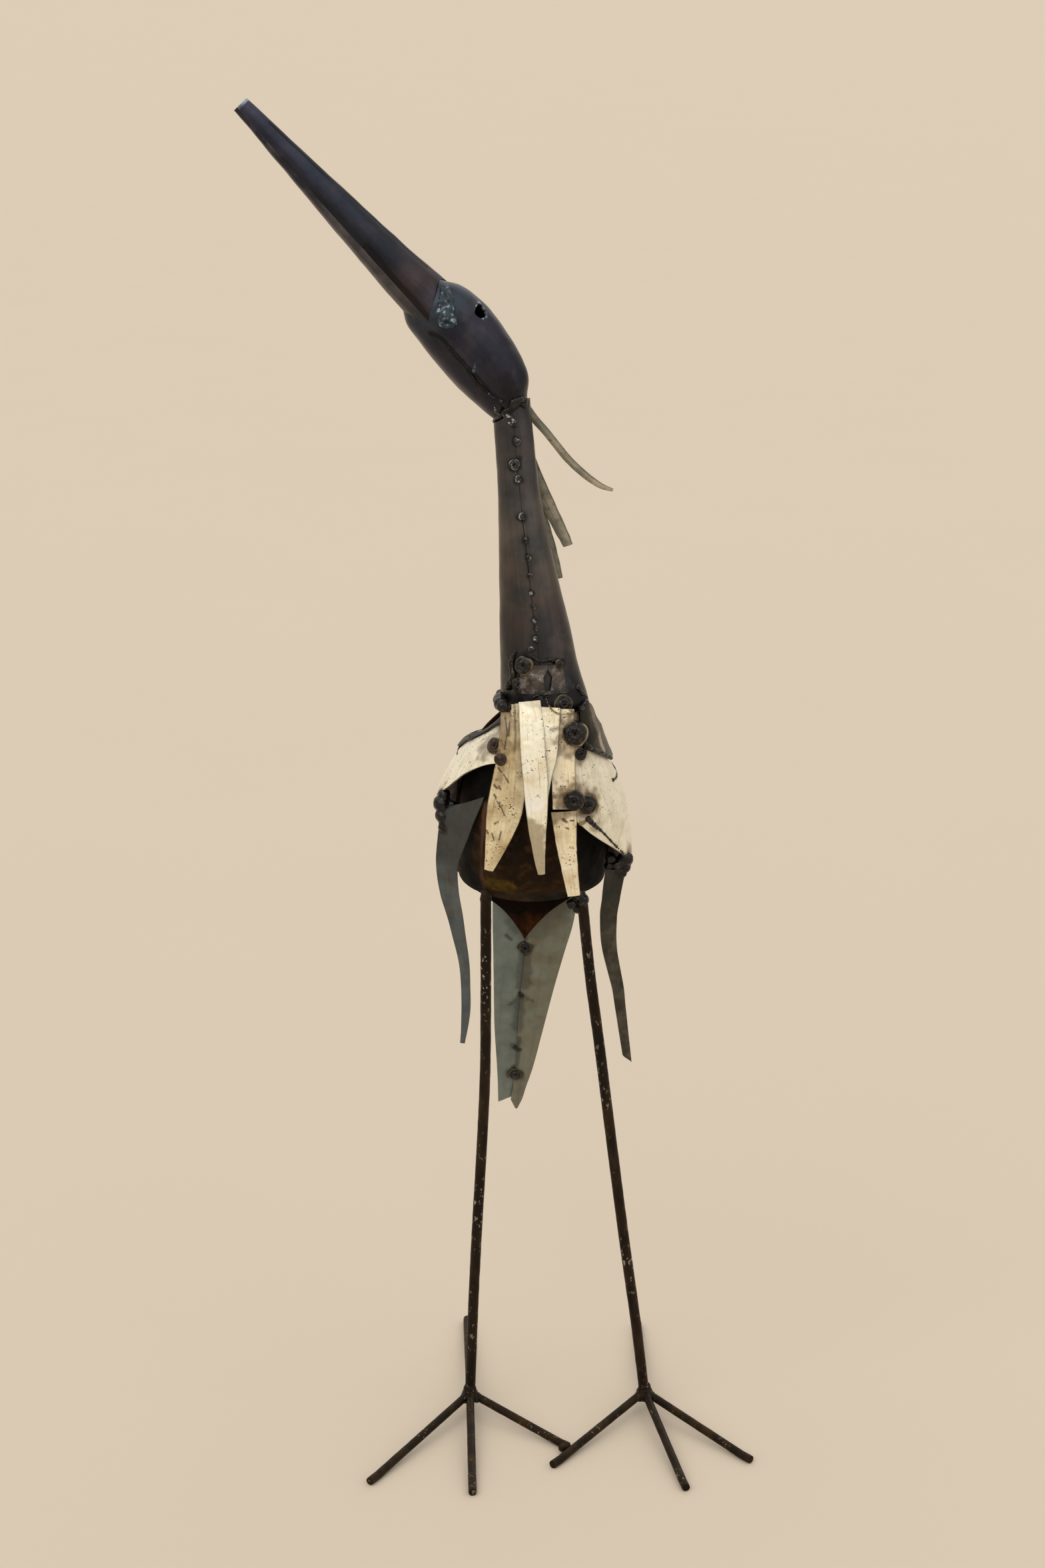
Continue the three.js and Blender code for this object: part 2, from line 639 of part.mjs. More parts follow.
// Legs and feet
const LEG_LEFT = [
  [-33.5, -38, 549], [-34, -32, 452], [-35, -22, 370], [-38.4, -14, 292], [-44, -7, 193], [-48, -2, 110],
  [-51.6, 0, 16],
];
const LEG_RIGHT = [
  [54.5, -34, 545], [62, -29, 471], [72, -21, 393], [84.5, -14, 292], [97, -7, 193], [110.6, -2, 93],
  [120, 3, 16],
];
const ANKLE_RADIUS = 9;
const ANKLE_UNDERSIDE = 1.2;

function makeLeg(path, side) {
  const shank = rod(path, (t) => (LEG_ROD * lerp(1.04, 0.97, t)) / 2, 8, 9);
  const bottom = vector(...path[path.length - 1]);
  const ankle = lump(bottom.add(vector(0, -1, -0.5)), ANKLE_RADIUS, 1, 9);
  const fromTop = (x, y, z) => vector(...path[0]).add(vector(x, y, z));
  const lumps = side < 0
    ? [lump(fromTop(1, 0, 2), 7.5, 0.9)]
    : [lump(fromTop(-4, 1, 3), 8.5, 0.8), lump(fromTop(-10, -4, -6), 5.5, 1, 6)];
  return joined([shank, ankle.trimByPlane([0, 0, 1], ANKLE_UNDERSIDE), ...lumps]);
}

const FOOT_REST = (TOE_ROD / 2) * Math.cos(Math.PI / 8);
const ANKLE_HEIGHT = 17.5;
const FLAT_FROM = 0.92;

// A toe slopes down from the ankle, and its very end lies flat on the floor
function makeToe(root, tip) {
  const reach = (t, z) => [lerp(root[0], tip[0], t), lerp(root[1], tip[1], t), z];
  const path = [0, FLAT_FROM / 2, FLAT_FROM, 1].map((t) => {
    return reach(t, lerp(ANKLE_HEIGHT, FOOT_REST, Math.min(t / FLAT_FROM, 1)));
  });
  return rod(path, () => TOE_ROD / 2, 8, path.length - 1);
}

const LEFT_ANKLE = [-51.6, -1];
const RIGHT_ANKLE = [120, 2];
const TOES = {
  toe_left_outer: [LEFT_ANKLE, [-143.4, -143]],
  toe_left_middle: [LEFT_ANKLE, [-46.4, -162]],
  toe_left_inner: [LEFT_ANKLE, [44, -79]],
  toe_left_back: [LEFT_ANKLE, [-58, 178]],
  toe_right_outer: [RIGHT_ANKLE, [217, -104]],
  toe_right_middle: [RIGHT_ANKLE, [152.5, -154]],
  toe_right_inner: [RIGHT_ANKLE, [28, -113]],
  toe_right_back: [RIGHT_ANKLE, [120, 170]],
};

// Finishes
const FINISHES = {
  gun_blue: { color: 0x3a3a46, roughness: 0.42, metalness: 0.9 },
  heat_brown: { color: 0x4a3b35, roughness: 0.5, metalness: 0.85 },
  cream_tin: { color: 0xd8c894, roughness: 0.4, metalness: 0.5 },
  soot_steel: { color: 0x33302c, roughness: 0.6, metalness: 0.7 },
  rust_brown: { color: 0x50341a, roughness: 0.75, metalness: 0.4 },
  galvanised: { color: 0x7e857c, roughness: 0.5, metalness: 0.8 },
  slate_sheet: { color: 0x5c676a, roughness: 0.5, metalness: 0.7 },
  pale_plume: { color: 0x9a9d86, roughness: 0.5, metalness: 0.6 },
  rod_brown: { color: 0x3b2a1e, roughness: 0.55, metalness: 0.7 },
};

// The pieces in the order in which they are fitted: each one is cut to clear those before it
const solids = {};
const finishes = {};
function near(one, other) {
  const [a, b] = [one.boundingBox(), other.boundingBox()];
  return [0, 1, 2].every((axis) => a.min[axis] < b.max[axis] + 1 && b.min[axis] < a.max[axis] + 1);
}
function add(name, finish, piece) {
  solids[name] = clearOf(piece, Object.values(solids).filter((other) => near(piece, other)));
  finishes[name] = finish;
}

add("neck", "heat_brown", makeNeck());
add("throat_patch", "soot_steel", makeThroatPatch());
add("head_crown", "gun_blue", makeCrown());
add("head_jaw", "gun_blue", makeJaw());
add("beak_upper", "gun_blue", makeBeakUpper());
add("beak_lower", "gun_blue", makeBeakLower());
add("crest_plume", "pale_plume", makeCrest());
add("neck_plume_upper", "pale_plume", makeNeckPlumeUpper());
add("neck_plume_lower", "pale_plume", makeNeckPlumeLower());
add("belly_shell", "rust_brown", makeBelly());
add("back_shell", "rust_brown", makeBack());
add("chest_feather_right_upper", "cream_tin", makeChestRightUpper());
add("chest_feather_behind", "cream_tin", makeChestBehind());
add("chest_feather_left", "cream_tin", makeChestLeft());
add("chest_feather_middle", "cream_tin", makeChestMiddle());
add("chest_feather_right_lower", "cream_tin", makeChestRightLower());
add("wing_left", "cream_tin", makeWing(-1));
add("wing_right", "cream_tin", makeWing(1));
add("shoulder_left", "soot_steel", makeShoulder(-1));
add("shoulder_right", "soot_steel", makeShoulder(1));
add("wing_plume_left", "slate_sheet", makeWingPlumeLeft());
add("wing_plume_right", "slate_sheet", makeWingPlumeRight());
add("tail_leaf_left", "galvanised", makeTail(-1));
add("tail_leaf_right", "galvanised", makeTail(1));
add("leg_left", "rod_brown", makeLeg(LEG_LEFT, -1));
add("leg_right", "rod_brown", makeLeg(LEG_RIGHT, 1));
for (const [name, [root, tip]] of Object.entries(TOES)) add(name, "rod_brown", makeToe(root, tip));

const heron = new THREE.Group();
const box = new THREE.Box3();
for (const [name, piece] of Object.entries(solids)) {
  const { vertProperties, triVerts } = piece.getMesh();
  const geometry = new THREE.BufferGeometry();
  geometry.setAttribute("position", new THREE.BufferAttribute(vertProperties, 3));
  geometry.setIndex(new THREE.BufferAttribute(triVerts, 1));
  geometry.computeVertexNormals();
  const mesh = new THREE.Mesh(geometry, new THREE.MeshStandardMaterial(FINISHES[finishes[name]]));
  mesh.name = name;
  heron.add(mesh);
  box.expandByObject(mesh);
}

// The origin is on the floor, under the middle of the heron's box
heron.position.set(-(box.min.x + box.max.x) / 2, -(box.min.y + box.max.y) / 2, -box.min.z);

export default heron;
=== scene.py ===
# %% [markdown]
# # A heron of welded scrap
# The bird is bent sheet steel and tin on two legs of round rod. This lesson dresses its imported CAD model:
# each sheet is drawn again with a finer grid, gets dents and hand-cut edges, and then its finish.
# The CAD model is loaded first and never changed. Its box is kept, and every dressed piece is held inside it.

# %% Load the model
import math
import bmesh
import bpy
import numpy as np
from mathutils import Matrix, Vector, noise
from mathutils.bvhtree import BVHTree


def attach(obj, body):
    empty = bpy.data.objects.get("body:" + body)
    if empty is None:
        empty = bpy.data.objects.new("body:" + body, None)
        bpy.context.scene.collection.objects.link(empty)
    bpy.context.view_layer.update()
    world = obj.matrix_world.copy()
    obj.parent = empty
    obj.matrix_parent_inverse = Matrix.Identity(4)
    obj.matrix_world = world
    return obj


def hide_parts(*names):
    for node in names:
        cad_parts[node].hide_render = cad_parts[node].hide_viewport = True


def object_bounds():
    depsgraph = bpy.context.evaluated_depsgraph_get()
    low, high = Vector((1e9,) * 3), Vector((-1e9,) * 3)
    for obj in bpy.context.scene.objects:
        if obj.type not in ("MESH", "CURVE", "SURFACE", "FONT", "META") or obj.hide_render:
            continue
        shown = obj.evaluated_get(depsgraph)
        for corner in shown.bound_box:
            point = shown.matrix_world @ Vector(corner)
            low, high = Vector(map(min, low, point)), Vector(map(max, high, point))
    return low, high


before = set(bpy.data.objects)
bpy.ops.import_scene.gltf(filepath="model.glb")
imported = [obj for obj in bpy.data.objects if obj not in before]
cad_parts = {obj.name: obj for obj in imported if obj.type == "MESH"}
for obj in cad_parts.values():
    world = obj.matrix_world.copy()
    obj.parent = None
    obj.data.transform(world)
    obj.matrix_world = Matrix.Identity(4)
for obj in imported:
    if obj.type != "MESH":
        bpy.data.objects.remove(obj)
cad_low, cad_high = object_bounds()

print("CAD box, metres:", [round(v, 4) for v in (*cad_low, *cad_high)])

# %% [markdown]
# The bird was drawn in millimetres around its neck. The model's origin lies on the floor under the middle
# of its box, so every drawn point is shifted by the same amount and scaled to metres.

# %% From the drawing to the frame
SHIFT = np.array([9.8021, -16.5585, 0.0])


def placed(points):
    return (np.asarray(points, dtype=float) + SHIFT) / 1000


print("the neck's drawn top lies at", placed([-9, -52, 995.5]).round(4))

# %% [markdown]
# The photograph was taken 2.4 m in front of the bird from chest height, with a long lens that looks down
# 17 degrees. The camera stands there, so that render and photograph can be laid over each other.

# %% Camera
PHOTO_WIDTH, PHOTO_HEIGHT = 1568, 2352
FOCAL_PIXELS = 4181
PITCH = math.radians(17)
SENSOR = 36

camera = bpy.data.objects.new("camera", bpy.data.cameras.new("camera"))
camera.location = placed([0, -2445, 1390])
camera.rotation_euler = (math.pi / 2 - PITCH, 0, 0)
camera.data.sensor_fit = "VERTICAL"
camera.data.sensor_height = SENSOR
camera.data.lens = FOCAL_PIXELS / PHOTO_HEIGHT * SENSOR
bpy.context.scene.collection.objects.link(camera)
bpy.context.scene.camera = camera
bpy.context.view_layer.update()
print("lens, mm:", round(camera.data.lens, 1))

# %% [markdown]
# ## Materials: the tools
# A finish is a small graph of nodes. One function adds a node and sets or links its sockets.
# Colours are given as sRGB hex values, the way a screen shows them, and turned into linear light.

# %% One function adds a node
def node(tree, kind, sockets=None, **settings):
    made = tree.nodes.new(kind)
    for name, value in settings.items():
        setattr(made, name, value)
    for name, value in (sockets or {}).items():
        if isinstance(value, bpy.types.NodeSocket):
            tree.links.new(value, made.inputs[name])
        else:
            made.inputs[name].default_value = value
    return made


def colour(hex_value):
    channels = [int(hex_value[i:i + 2], 16) / 255 for i in (1, 3, 5)]
    return [c / 12.92 if c <= 0.04045 else ((c + 0.055) / 1.055) ** 2.4 for c in channels] + [1.0]


print("cream in linear light:", [round(c, 3) for c in colour("#e8d9b0")])

# %% [markdown]
# Most finishes here are layers: a ground, then stains, scuffs and soot over it. Each layer has a mask from 0
# to 1, and a layer whose mask is a word reads the value of that name that was painted on the piece. `patches`
# makes a blotchy mask from noise of a real size in millimetres, stretched along a strip where that is asked.
# `share` is the part of the surface that it covers. `surfaced` ends a finish: its shine and its fine bumps.

# %% Masks and layers
def patches(tree, size, share, edge=0.08, stretch=(1, 1, 1), seed=0.0, detail=4.0, strip=False):
    coordinates = node(tree, "ShaderNodeTexCoord")
    spread = node(tree, "ShaderNodeMapping", {
        "Vector": coordinates.outputs["UV" if strip else "Object"],
        "Location": (seed, seed * 1.7, seed * 0.6),
        "Scale": [1000 / (size * s) for s in stretch],
    })
    grain = node(tree, "ShaderNodeTexNoise", {
        "Vector": spread.outputs["Vector"], "Scale": 1.0, "Detail": detail, "Roughness": 0.55})
    middle = 0.5 + 0.34 * (0.5 - share)
    return node(tree, "ShaderNodeMapRange", {
        "Value": grain.outputs["Fac"], "From Min": middle - edge, "From Max": middle + edge,
    }).outputs["Result"]


def blend(tree, how, first, second):
    return node(tree, "ShaderNodeMath", {0: first, 1: second}, operation=how, use_clamp=True).outputs[0]


def layer(tree, below, above, mask, strength=1):
    if isinstance(mask, str):
        mask = node(tree, "ShaderNodeAttribute", attribute_name=mask).outputs["Fac"]
    if strength < 1:
        mask = blend(tree, "MULTIPLY", mask, strength)
    mixed = node(tree, "ShaderNodeMix", data_type="RGBA")
    for socket, value in ((mixed.inputs[0], mask), (mixed.inputs[6], below), (mixed.inputs[7], above)):
        if isinstance(value, bpy.types.NodeSocket):
            tree.links.new(value, socket)
        else:
            socket.default_value = colour(value)
    return mixed.outputs[2]


def new_finish(name):
    material = bpy.data.materials.new(name)
    material.use_nodes = True
    return material, material.node_tree


def surfaced(material, tone, metallic, dullness, rough, bumps=None, depth=0, specular=0.5):
    tree = material.node_tree
    shader = tree.nodes["Principled BSDF"]
    tree.links.new(tone, shader.inputs["Base Color"])
    shader.inputs["Metallic"].default_value = metallic
    shader.inputs["Specular IOR Level"].default_value = specular
    shine = node(tree, "ShaderNodeMapRange", {"Value": dullness, "To Min": rough[0], "To Max": rough[1]})
    tree.links.new(shine.outputs["Result"], shader.inputs["Roughness"])
    if bumps:
        bump = node(tree, "ShaderNodeBump", {"Height": bumps, "Strength": 1.0, "Distance": depth / 1000})
        tree.links.new(bump.outputs["Normal"], shader.inputs["Normal"])
    return material


print("patches 5 mm wide repeat", round(1000 / 5), "times in a metre")

# %% [markdown]
# ## Sheet metal as a fine grid
# `sheet_piece` lays a grid over a surface that is given as a function of two numbers: u across and v along.
# The grid gets shallow dents, because no hand-beaten sheet is true, then a second skin one sheet thickness
# away, and a rim that joins the two. Its UV map holds real metres, for scratches that follow the sheet. The
# values `cut` and `inside` tell a finish where the snipped edge and the inner skin are.

# %% A sheet from a surface
SHEET = 1.6


def as_object(name, vertices, faces):
    mesh = bpy.data.meshes.new(name)
    mesh.from_pydata(vertices, [], faces)
    mesh.validate()
    piece = bpy.data.objects.new(name, mesh)
    bpy.context.scene.collection.objects.link(piece)
    return piece


def finished(piece, material, slot_name, *nodes):
    bm = bmesh.new()
    bm.from_mesh(piece.data)
    bmesh.ops.recalc_face_normals(bm, faces=bm.faces)
    bm.to_mesh(piece.data)
    bm.free()
    piece.data.polygons.foreach_set("use_smooth", [True] * len(piece.data.polygons))
    piece.data.set_sharp_from_angle(angle=math.radians(42))
    points = np.empty(len(piece.data.vertices) * 3)
    piece.data.vertices.foreach_get("co", points)
    piece.data.vertices.foreach_set("co", np.clip(points.reshape(-1, 3), cad_low, cad_high).ravel())
    piece.data.materials.clear()
    piece.data.materials.append(material)
    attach(piece, "root")
    if nodes:
        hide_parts(*nodes)
    print(f"{piece.name}: {len(piece.data.vertices)} points, in {material.name}")
    return piece


def dented(points, normals, depth, size, seed):
    rows, columns = points.shape[:2]
    for j in range(rows):
        for i in range(columns):
            at = Vector(points[j, i] / size) + Vector((seed, 0, 0))
            points[j, i] += normals[j, i] * (noise.noise(at) + 0.35 * noise.noise(at * 2.9)) * depth
    return points


def normals_of(points, closed):
    if closed:
        across = np.roll(points, -1, axis=1) - np.roll(points, 1, axis=1)
    else:
        across = np.gradient(points, axis=1)
    along = np.gradient(points, axis=0)
    normals = np.cross(across, along)
    return normals / np.maximum(np.linalg.norm(normals, axis=2, keepdims=True), 1e-9)


BODY_MIDDLE = np.array([8, 10, 640])
CUT_WIDTH = 0.9


def sheet_piece(name, face, across, along, thickness=SHEET, closed=False, dent=0.35, dent_size=26, ragged=0.3,
                hub=BODY_MIDDLE):
    columns = across if closed else across + 1
    seed = sum(map(ord, name)) % 97
    us = np.arange(columns) / across
    vs = np.arange(along + 1) / along
    outer = np.array([[face(u, v) for u in us] for v in vs], dtype=float)
    normals = normals_of(outer, closed)
    if not closed:
        edge = np.abs(2 * us - 1) ** 10
        wobble = np.array([noise.noise(Vector((v * 9, seed, 0))) for v in vs])
        sideways = np.gradient(outer, axis=1)
        sideways /= np.maximum(np.linalg.norm(sideways, axis=2, keepdims=True), 1e-9)
        outer += sideways * (wobble[:, None] * edge[None, :] * ragged)[:, :, None]
    outer = dented(outer, normals, dent, dent_size, seed)
    normals = normals_of(outer, closed)
    skins = np.concatenate([outer.reshape(-1, 3), (outer - normals * thickness).reshape(-1, 3)])

    faces = []
    under = outer.shape[0] * columns
    for j in range(along):
        for i in range(across):
            a, b = j * columns + i, j * columns + (i + 1) % columns
            c, d = b + columns, a + columns
            faces += [(a, b, c, d), (under + a, under + d, under + c, under + b)]
    for i in range(across):
        a, b = i, (i + 1) % columns
        c, d = along * columns + a, along * columns + b
        faces += [(b, a, under + a, under + b), (c, d, under + d, under + c)]
    if not closed:
        for j in range(along):
            a, d = j * columns, (j + 1) * columns
            b, c = a + across, d + across
            faces += [(a, d, under + d, under + a), (c, b, under + b, under + c)]

    piece = as_object(name, placed(skins), faces)
    widths = np.linalg.norm(np.diff(outer, axis=1), axis=2).sum(axis=1).max() / 1000
    length = np.linalg.norm(np.diff(outer[:, columns // 2], axis=0), axis=1).sum() / 1000
    grid = np.array([[u * widths, v * length] for v in vs for u in us])
    spots = np.concatenate([grid, grid])
    corners = np.empty(len(piece.data.loops), dtype=int)
    piece.data.loops.foreach_get("vertex_index", corners)
    layer_uv = piece.data.uv_layers.new(name="metres")
    layer_uv.data.foreach_set("uv", spots[corners].ravel())
    to_rim = np.minimum(grid[:, 1], length - grid[:, 1])
    if not closed:
        to_rim = np.minimum(to_rim, np.minimum(grid[:, 0], widths - grid[:, 0]))
    cut = piece.data.attributes.new("cut", "FLOAT", "POINT")
    cut.data.foreach_set("value", np.tile(np.clip(1 - to_rim * 1000 / CUT_WIDTH, 0, 1), 2))
    hub = outer.reshape(-1, 3).mean(axis=0) if hub is None else hub
    first_is_outer = (normals * (outer - hub)).sum() > 0
    inside = piece.data.attributes.new("inside", "FLOAT", "POINT")
    inside.data.foreach_set("value", np.repeat([0.0, 1.0] if first_is_outer else [1.0, 0.0], under))
    return piece


print("sheet thickness, mm:", SHEET)

# %% [markdown]
# Curves through a few measured values carry all the shapes. `through` runs smoothly through evenly spaced
# values, `between` through values at stated places, and `spine_at` gives a point and a direction on a spine.

# %% Smooth curves
def through(values, t):
    spans = len(values) - 1
    place = min(max(t, 0), 1) * spans
    first = min(int(place), spans - 1)
    rest = place - first
    before, start = values[max(first - 1, 0)], values[first]
    end, after = values[first + 1], values[min(first + 2, spans)]
    curve = 2 * before - 5 * start + 4 * end - after + rest * (3 * (start - end) + after - before)
    return start + 0.5 * rest * (end - before + rest * curve)


def between(stations, place):
    last = len(stations) - 1
    falling = stations[last][0] < stations[0][0]
    i = 0
    while i < last - 1 and (place < stations[i + 1][0] if falling else place > stations[i + 1][0]):
        i += 1

    def slope(a, b):
        return (stations[b][1] - stations[a][1]) / (stations[b][0] - stations[a][0])

    (x0, y0), (x1, y1) = stations[i], stations[i + 1]
    span = x1 - x0
    t = min(max((place - x0) / span, 0), 1)
    leave = span * (slope(i - 1, i + 1) if i > 0 else slope(i, i + 1))
    arrive = span * (slope(i, i + 2) if i + 2 <= last else slope(i, i + 1))
    return ((2 * t**3 - 3 * t**2 + 1) * y0 + (t**3 - 2 * t**2 + t) * leave
            + (3 * t**2 - 2 * t**3) * y1 + (t**3 - t**2) * arrive)


def lerp(a, b, t):
    return a + (b - a) * t


def smoothstep(value, low, high):
    t = min(max((value - low) / (high - low), 0), 1)
    return t * t * (3 - 2 * t)


def spine_at(spine, t):
    point = through(spine, t)
    ahead = through(spine, min(t + 0.004, 1)) - through(spine, max(t - 0.004, 0))
    return point, ahead / np.linalg.norm(ahead)


print("half way between 10 and 20:", through([10, 20], 0.5))

# %% [markdown]
# ## Steel that has been hot
# Mild steel, rolled and welded with a torch, keeps the blue, purple and straw colours of the heat under a
# thin oil film. It is a metal, so its colour is the colour of its reflection. The tints are broad patches,
# and fine roughness breaks the shine up.

# %% Steel whose heat tints run along the piece
def heat_tinted_steel(name, run, length, blotches, rough, rim="#8797a6"):
    material, tree = new_finish(name)
    coordinates = node(tree, "ShaderNodeTexCoord")
    along = node(tree, "ShaderNodeSeparateXYZ", {"Vector": coordinates.outputs["UV"]}).outputs["Y"]
    sway = node(tree, "ShaderNodeTexNoise", {
        "Vector": coordinates.outputs["Object"], "Scale": 1000 / 45, "Detail": 3.0}).outputs["Fac"]
    wavy = node(tree, "ShaderNodeMath", {0: sway, 1: 0.5}, operation="SUBTRACT").outputs[0]
    place = node(tree, "ShaderNodeMath", {0: along, 1: 1000 / length}, operation="MULTIPLY").outputs[0]
    place = node(tree, "ShaderNodeMath", {0: wavy, 1: 0.35, 2: place}, operation="MULTIPLY_ADD").outputs[0]
    ramp = node(tree, "ShaderNodeValToRGB", {"Fac": place})
    for i, (stop, tint) in enumerate(run):
        elements = ramp.color_ramp.elements
        element = elements[i] if i < 2 else elements.new(stop)
        element.position, element.color = stop, colour(tint)
    tone = ramp.outputs["Color"]
    for i, (tint, size, share) in enumerate(blotches):
        tone = layer(tree, tone, tint, patches(tree, size, share, 0.12, seed=3.1 + 5 * i, detail=3.0), 0.7)
    streaks = patches(tree, 5, 0.3, 0.15, stretch=(0.5, 9, 1), seed=9.0, strip=True)
    tone = layer(tree, tone, "#1b1a1c", streaks, 0.25)
    tone = layer(tree, tone, rim, "rim")
    # soot round the neck's welds; on the beak and along the head's seam this layer is painted shade
    tone = layer(tree, tone, "#131214", "soot_and_shade", 0.88)
    # painted shade: the inner skin of tube, head, beak and plates is near-black
    tone = layer(tree, tone, "#0d0c0c", "inside")
    oil = patches(tree, 9, 0.5, 0.35, seed=2.0, detail=6.0)
    bumps = patches(tree, 11, 0.5, 0.6, seed=6.0, detail=5.0)
    return surfaced(material, tone, 0.8, oil, (rough, rough + 0.12), bumps, 0.25)


rolled_steel = heat_tinted_steel("mild steel, rolled and heat-tinted", [
    (0, "#2f2e34"), (0.16, "#494547"), (0.34, "#625c58"), (0.5, "#5f544c"), (0.62, "#4e4440"),
    (0.78, "#3a3635"), (0.92, "#2b2b2c"), (1, "#4a443f")],
    262, [("#2d3437", 34, 0.34), ("#58504c", 24, 0.2)], 0.3)
blued_steel = heat_tinted_steel("sheet steel, blued by the torch", [
    (0, "#42373b"), (0.12, "#42383a"), (0.22, "#272930"), (0.5, "#2d323e"), (0.8, "#373948"), (1, "#5a5462")],
    240, [("#20232c", 30, 0.3), ("#3d3844", 22, 0.2)], 0.28, "#8d9dac")
greyed_steel = heat_tinted_steel("sheet steel, greyed by the torch", [
    (0, "#3b3739"), (0.15, "#4f4b4e"), (0.45, "#525056"), (0.7, "#31323b"), (1, "#2a2a33")],
    240, [("#3a393d", 16, 0.3), ("#605c5e", 12, 0.2)], 0.3)
head_steel = heat_tinted_steel("sheet steel, beaten and blued", [
    (0, "#28272f"), (0.35, "#2c2b35"), (0.7, "#32303a"), (1, "#38404b")],
    127, [("#1f1e27", 26, 0.3), ("#454247", 20, 0.12)], 0.26)
charred_steel = heat_tinted_steel("sheet steel, charred", [
    (0, "#2b2926"), (0.4, "#201f1d"), (1, "#292622")], 80, [("#131211", 16, 0.35), ("#3f3b35", 9, 0.1)], 0.36,
    "#a79d88")
print("steels made:", [m.name for m in (rolled_steel, blued_steel, greyed_steel, head_steel, charred_steel)])

# %% [markdown]
# ## The neck
# One tapered tube, rolled from a single sheet, with its lap seam down the front. The stations are the half
# widths and the middles of the neck at nine heights. The last column of the grid stands one sheet thickness
# proud, and the wall between it and the first column is the edge of the lap.

# %% The neck's tube
NECK_TOP = np.array([-9, -52, 995.5])
NECK_BASE = np.array([19.5, -66, 738])
NECK_HALF_WIDTHS = [13.8, 14.9, 16.4, 18.9, 22.1, 26, 29.5, 33, 37.5]
NECK_MIDDLES = [-9, -6.8, -3.8, -0.5, 3.2, 7.4, 11.3, 15, 19.5]
NECK_DEPTH = 0.92
HEAD_SLOPE = 0.75
NECK_COLUMNS = 120


def neck_section(t):
    middle = lerp(NECK_TOP, NECK_BASE, t)
    middle[0] = through(NECK_MIDDLES, t)
    return middle, through(NECK_HALF_WIDTHS, t)


def neck_point(turn, t, lift=0.0):
    middle, half = neck_section(t)
    x = (half + lift) * math.sin(turn)
    y = -(half * NECK_DEPTH + lift) * math.cos(turn)
    return middle + np.array([x, y, x * HEAD_SLOPE * max(0, 1 - 4 * t)])


def neck_surface(u, v):
    part = u * NECK_COLUMNS / (NECK_COLUMNS - 1)
    return neck_point(math.radians(1 + 358 * part), v, 1.4 * smoothstep(part, 0.85, 1))


neck = sheet_piece("neck_tube", neck_surface, NECK_COLUMNS, 150, closed=True, dent=0.7, dent_size=34,
                   hub=None)
finished(neck, rolled_steel, "neck", "neck")

# %% [markdown]
# A small creased plate with a slot like a spearhead is tacked to the foot of the neck. The slot is cut with
# a Boolean modifier, which is applied at once so that later steps see the real mesh.

# %% The throat patch
def cut_with(piece, outline, matrix, depth):
    bm = bmesh.new()
    rim = [bm.verts.new((x, y, -depth / 2)) for x, y in outline]
    bottom = bm.faces.new(rim)
    top = bmesh.ops.extrude_face_region(bm, geom=[bottom])["geom"]
    bmesh.ops.translate(bm, vec=(0, 0, depth), verts=[v for v in top if isinstance(v, bmesh.types.BMVert)])
    bmesh.ops.recalc_face_normals(bm, faces=bm.faces)
    mesh = bpy.data.meshes.new("cutter")
    bm.to_mesh(mesh)
    bm.free()
    mesh.transform(matrix)
    cutter = bpy.data.objects.new("cutter", mesh)
    bpy.context.scene.collection.objects.link(cutter)
    modifier = piece.modifiers.new("hole", "BOOLEAN")
    modifier.object = cutter
    modifier.solver = "EXACT"
    applied(piece)
    bpy.data.objects.remove(cutter)


def applied(piece):
    bpy.context.view_layer.update()
    result = piece.evaluated_get(bpy.context.evaluated_depsgraph_get())
    mesh = bpy.data.meshes.new_from_object(result)
    piece.modifiers.clear()
    piece.data = mesh


def patch_surface(u, v):
    t = (NECK_TOP[2] - lerp(780, 755, v)) / (NECK_TOP[2] - NECK_BASE[2])
    aside = lerp(-13 - 5 * v, 19, u)
    crease = 1.6 * abs(math.sin(2 * math.pi * u + v)) + 0.5 * math.sin(9 * u - 4 * v)
    return neck_point(math.asin(aside / neck_section(t)[1]), t, 2.6 + crease)


throat_patch = sheet_piece("throat_plate", patch_surface, 60, 40, thickness=1.0, dent=0.6, dent_size=7,
                           ragged=1.2)
spearhead = [(0, 9), (-4, 2), (-2.4, -9), (2.4, -9), (4, 2)]
facing_front = Matrix(((1, 0, 0), (0, 0, -1), (0, 1, 0))).to_4x4()
cut_with(throat_patch, [(x / 1000, y / 1000) for x, y in spearhead],
         Matrix.Translation(Vector(placed([22, -105, 767.5]))) @ facing_front, 0.04)
mauve_steel = heat_tinted_steel("sheet steel, torn and heat-bleached", [
    (0, "#4a433f"), (0.4, "#675e58"), (0.8, "#564f4a"), (1, "#37322f")], 25,
    [("#2c2826", 9, 0.42), ("#938b84", 6, 0.14)], 0.26)
finished(throat_patch, mauve_steel, "throat_patch", "throat_patch")

# %% [markdown]
# ## Head and beak
# The head is an egg in two halves, a crown over a jaw, that meet along a seam on each side. The beak's two
# blades spread over the cheeks at their root and end together in an open squared tip.

